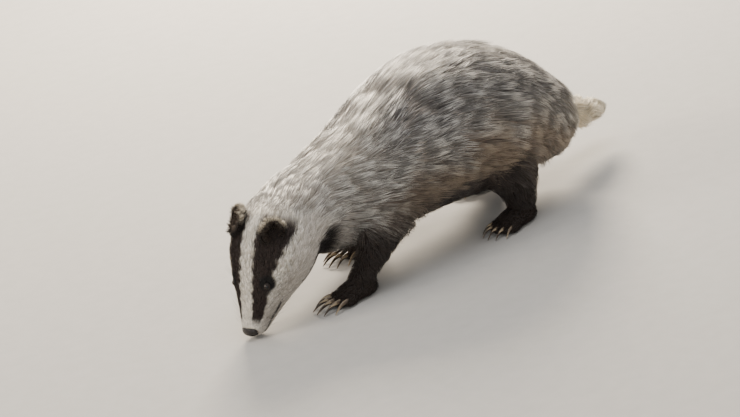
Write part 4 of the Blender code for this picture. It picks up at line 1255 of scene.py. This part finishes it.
def make_long_coat(skin, tree, spot_of_skin, material):
    """Guard hair of the trunk: long coarse tufts that overlap like tiles from the neck to the rump."""
    weight = (1 - spot_of_skin.head) * (1 - spot_of_skin.tail) * (1 - spot_of_skin.leg_share)
    weight = weight * (1 + 0.8 * bump(spot_of_skin.leg_share, 0.4, 0.3))
    roots, normals = scatter(skin, LONG_TUFTS, weight)
    order = np.argsort(spots(roots).t)
    roots, normals = roots[order], normals[order]
    spot = spots(roots)
    n = len(roots)
    locks = leaders_of(roots, 130, 0.003)
    strands = leaders_of(roots, 16, 0.0015)
    turn = np.abs(spot.angle)
    stations = (0, 0.8, 1.4, 2.2, 3.2, 4.5, 9.0)
    length = np.interp(spot.t, stations, (0.015, 0.022, 0.032, 0.047, 0.060, 0.068, 0.060))
    under = smooth(turn, 1.9, 2.5)
    length = length * (1 - 0.55 * under) * rng.uniform(0.72, 1.12, n) * rng.normal(1, 0.07, n)[locks]
    coat = np.interp(spot.t, np.arange(LAST + 1), TRUNK[:, 5])
    bare = 1 - smooth(turn, 1.95, 2.5)
    depth = CORE_DEPTH * coat * smooth(spot.t, 0.9, 1.9) * (1 - smooth(spot.t, LAST - 0.8, LAST)) * bare
    depth = np.maximum(depth, 0.0045 + 0.0030 * bump(spot.t, 1.2, 0.7) * bare)
    height = depth * rng.uniform(0.50, 1.05, n) * np.clip(rng.normal(1, 0.16, n)[locks], 0.6, 1.4)
    height = np.where(rng.random(n) < 0.06, height * 1.3, height)
    flow = lean(lie_of_coat(roots, spot), normals, 0.11, locks, 0.13)
    hold = 0.90 - 0.42 * smooth(turn, 1.2, 1.9) * smooth(spot.t, 2.0, 3.5)
    path = comb(tree, roots, normals, flow, length, height, LONG_STEPS, hold)
    path = clump(path, locks, (0.05, 0.15, 0.24), 0.5)
    path = clump(path, strands, (0.20, 0.48, 0.68))
    facts = coat_facts(spot, roots, locks, 0.09)
    facts["tone"] = 0.55 * facts["tone"] + 0.45 * rng.random(n)[strands]
    width = np.interp(spot.t, (0, 1.5, 3.5), (0.00044, 0.00056, 0.00070)) * rng.uniform(0.7, 1.2, n)
    names = ("coat_neck", "coat_shoulders", "coat_ribs", "coat_loin", "coat_hips", "coat_rump")
    parts = zip(names, np.array_split(np.arange(n), len(names)))
    tuft_pieces(parts, path, normals, width, 0.40, LONG_TAPER, facts, unwrap(spot, roots), material)


def make_face_fur(skin, tree, spot_of_skin, material):
    """Short dense fur of the head, shortest on the muzzle, lying back from the nose."""
    weight = spot_of_skin.head * (1.6 - smooth(spot_of_skin.back, 0.02, 0.10))
    weight = weight * (1 + 2.6 * (1 - smooth(spot_of_skin.back, 0.004, 0.024)))
    for side in SIDES:
        near_eye = np.linalg.norm(skin[0] - np.array(eye_centre(side)), axis=1)
        weight = weight * (1 + 0.8 * (1 - smooth(near_eye, 0.008, 0.016)))
    roots, normals = scatter(skin, FACE_TUFTS, weight)
    q = in_head_frame(roots)
    pad = np.linalg.norm((q - np.array(NOSE_PAD[0])) / NOSE_PAD[1], axis=1)
    keep = pad > 0.97
    for side in SIDES:
        _, forward, across = (np.array(v) for v in eye_axes(side))
        off = roots - np.array(head_point(EYE_BACK, side * EYE_ANGLE))
        keep &= np.hypot((off @ forward) / BARE_LENGTH, (off @ across) / BARE_HEIGHT) > 1
    roots, normals = roots[keep], normals[keep]
    spot = spots(roots)
    n = len(roots)
    stations = (0.0, 0.03, 0.065, 0.10, 0.14, 0.18)
    length = np.interp(spot.back, stations, (0.0032, 0.0048, 0.0070, 0.0105, 0.015, 0.021))
    cheek = smooth(np.abs(spot.head_angle), 0.9, 1.6) * smooth(spot.back, 0.06, 0.11)
    length = length * (1 + 0.45 * cheek) * rng.uniform(0.75, 1.2, n)
    height = np.interp(spot.back, (0.0, 0.05, 0.10, 0.16), (0.0012, 0.0019, 0.0034, 0.0056))
    height = height * rng.uniform(0.6, 1.15, n)
    strands = leaders_of(roots, 13, 0.0008)
    flow = lean(lie_of_coat(roots, spot), normals, 0.12, strands, 0.06)
    path = comb(tree, roots, normals, flow, length, height, SHORT_STEPS, np.full(n, 0.92), sunk=0.0004)
    path = clump(path, strands, (0.16, 0.42))
    facts = coat_facts(spot, roots, strands, 0.06)
    width = np.interp(spot.back, (0.0, 0.06, 0.16), (0.00024, 0.00032, 0.00044)) * rng.uniform(0.75, 1.2, n)
    left = in_head_frame(roots)[:, 1] > 0
    parts = ("fur_face_left", left), ("fur_face_right", ~left)
    tuft_pieces(parts, path, normals, width, 0.45, SHORT_TAPER, facts, unwrap(spot, roots), material)


def make_leg_fur(skin, tree, spot_of_skin, material):
    """Dark fur of legs and paws, lying down the leg and forwards over the toes."""
    high = skin[0][:, 2]
    weight = spot_of_skin.leg_share * (1.6 - smooth(high, 0.02, 0.05)) * smooth(high, 0.0015, 0.004)
    weight = weight * (1 + 0.8 * bump(spot_of_skin.leg_share, 0.5, 0.3))
    roots, normals = scatter(skin, LEG_TUFTS, weight)
    spot = spots(roots)
    n = len(roots)
    length = np.interp(roots[:, 2], (0.0, 0.014, 0.035, 0.08, 0.12), (0.0050, 0.0070, 0.014, 0.028, 0.044))
    length = length * rng.uniform(0.7, 1.2, n)
    height = np.interp(roots[:, 2], (0.0, 0.02, 0.06, 0.11), (0.0015, 0.0026, 0.0048, 0.0075))
    height = height * rng.uniform(0.6, 1.2, n)
    strands = leaders_of(roots, 13, 0.001)
    flow = lean(lie_of_coat(roots, spot), normals, 0.13, strands, 0.12)
    path = comb(tree, roots, normals, flow, length, height, SHORT_STEPS, np.full(n, 0.90), sunk=0.0008)
    path = clump(path, strands, (0.18, 0.46))
    facts = coat_facts(spot, roots, strands)
    width = np.interp(roots[:, 2], (0.0, 0.03, 0.08), (0.00032, 0.00044, 0.00058)) * rng.uniform(0.75, 1.2, n)
    parts = (("fur_" + name, spot.leg == i) for i, name in enumerate(LEGS))
    tuft_pieces(parts, path, normals, width, 0.45, SHORT_TAPER, facts, unwrap(spot, roots), material)


def make_tail_coat(skin, tree, spot_of_skin, material):
    """The brush of the tail: long pale tufts that fan a little and hang at the end."""
    roots, normals = scatter(skin, TAIL_TUFTS, spot_of_skin.tail)
    spot = spots(roots)
    n = len(roots)
    locks = leaders_of(roots, 70, 0.002)
    left = TAIL_LENGTH * (1.0 - spot.tail_share)
    length = np.minimum(0.058, left * 0.85 + 0.027) * rng.uniform(0.65, 1.12, n)
    length = length * rng.normal(1, 0.10, n)[locks]
    radius = np.interp(spot.tail_share, TAIL_SHARES, TAIL_RADII)
    strands = leaders_of(roots, 14, 0.001)
    height = np.maximum(radius, 0.012) * (1 - TAIL_CORE) * rng.uniform(0.45, 1.30, n)
    height = height * np.clip(rng.normal(1, 0.30, n)[locks], 0.5, 1.7)
    flow = lean(lie_of_coat(roots, spot) + (0, 0, -0.10), normals, 0.18, locks, 0.34)
    hold = np.full(n, 0.68)
    path = comb(tree, roots, normals, flow, length, height, LONG_STEPS, hold)
    path = clump(path, locks, (0.08, 0.22, 0.34), 0.45)
    path = clump(path, strands, (0.18, 0.42, 0.60))
    facts = coat_facts(spot, roots, locks)
    width = 0.00064 * rng.uniform(0.7, 1.2, n)
    uv = unwrap(spot, roots)
    tuft_mesh("coat_tail", path, normals, width, 0.40, LONG_TAPER, facts, uv, material)


def make_badger():
    skin_mesh = make_skin_mesh()
    skin = mesh_arrays(skin_mesh)
    tree = BVHTree.FromPolygons([tuple(p) for p in skin[0]], [tuple(c) for c in skin[2].tolist()])
    spot_of_skin = spots(skin[0])
    under_fur = skin_material("underwool_on_skin")
    long_hair = hair_material("banded_guard_hair", 0.50, 0.35, 0.08)
    short_hair = hair_material("short_velvety_fur", 0.62, 0.20, 0.06)
    rim = lid_material()
    make_skin(skin_mesh, under_fur)
    make_long_coat(skin, tree, spot_of_skin, long_hair)
    make_tail_coat(skin, tree, spot_of_skin, long_hair)
    make_face_fur(skin, tree, spot_of_skin, short_hair)
    make_leg_fur(skin, tree, spot_of_skin, short_hair)
    make_nose(nose_material())
    make_lips(rim)
    eye_look = eye_material()
    for side in SIDES:
        make_ear(side, under_fur, short_hair)
        make_eye(side, eye_look)
        make_lids(side, rim)
    make_claws(claw_material())
    make_whiskers(short_hair)


# Floor, lights and camera
def make_floor():
    bm = bmesh.new()
    bmesh.ops.create_grid(bm, x_segments=1, y_segments=1, size=6.0)
    mesh = bpy.data.meshes.new("studio_floor")
    bm.to_mesh(mesh)
    bm.free()
    material, tree, shader, place = new_material("matt_painted_floor")
    speck = node(tree, "ShaderNodeTexNoise", {"Vector": place, "Scale": 40.0, "Detail": 4.0}).outputs["Fac"]
    stops = ((0.0, "#a8a5a0"), (1.0, "#b3b0ab"))
    paint = node(tree, "ShaderNodeValToRGB", {"Fac": speck}, stops).outputs["Color"]
    feed(tree, shader, {"Base Color": paint, "Roughness": 0.9})
    mesh.materials.append(material)
    floor = bpy.data.objects.new("studio_floor", mesh)
    bpy.context.scene.collection.objects.link(floor)


def make_light(name, place, target, power, size, colour):
    lamp = bpy.data.lights.new(name, "AREA")
    lamp.energy = power
    lamp.size = size
    lamp.color = srgb(colour)
    light = bpy.data.objects.new(name, lamp)
    light.location = place
    light.rotation_euler = (Vector(target) - Vector(place)).to_track_quat("-Z", "Y").to_euler()
    bpy.context.scene.collection.objects.link(light)


def make_lights():
    """Bright soft light from behind and ahead, as in the photograph, and weaker light on the near side."""
    middle = (0.0, 0.0, 0.12)
    make_light("window_behind", (-1.35, -1.85, 1.30), middle, 215, 0.9, "#fff1dc")
    make_light("ceiling", (-0.2, 0.2, 2.6), middle, 42, 1.8, "#ffffff")
    make_light("window_ahead", (2.6, -1.0, 1.7), middle, 76, 1.1, "#fff4e4")
    make_light("fill_in_front", (2.2, 2.6, 1.6), middle, 40, 2.0, "#f7f5f2")
    make_light("small_eye_light", (2.05, 2.46, 0.60), middle, 4.5, 0.22, "#ffffff")
    make_light("fill_at_the_side", (-2.6, 2.0, 1.4), middle, 20, 1.8, "#faf6f0")
    world = bpy.data.worlds.new("studio_air")
    world.use_nodes = True
    world.node_tree.nodes["Background"].inputs["Color"].default_value = (*srgb("#e2e4e8"), 1)
    world.node_tree.nodes["Background"].inputs["Strength"].default_value = 0.5
    bpy.context.scene.world = world


CAMERA_PLACE = Vector((2.6492, 4.0304, 1.8322))


def make_camera():
    """Looks down on the badger from its left front, a little tilted, as the photograph does."""
    around, down, tilt = math.radians(57), math.radians(20), math.radians(13)
    back = Vector((math.cos(around) * math.cos(down), math.sin(around) * math.cos(down), math.sin(down)))
    right = (-back).cross(Vector((0, 0, 1))).normalized()
    up = right.cross(-back)
    turned_right = right * math.cos(tilt) - up * math.sin(tilt)
    turned_up = right * math.sin(tilt) + up * math.cos(tilt)
    lens = bpy.data.cameras.new("photo_camera")
    lens.lens = 180
    lens.sensor_width = 36
    camera = bpy.data.objects.new("photo_camera", lens)
    turn = Matrix((turned_right, turned_up, back)).transposed()
    camera.matrix_world = Matrix.Translation(HOME + CAMERA_PLACE) @ turn.to_4x4()
    bpy.context.scene.collection.objects.link(camera)
    bpy.context.scene.camera = camera


make_badger()
make_floor()
make_lights()
make_camera()
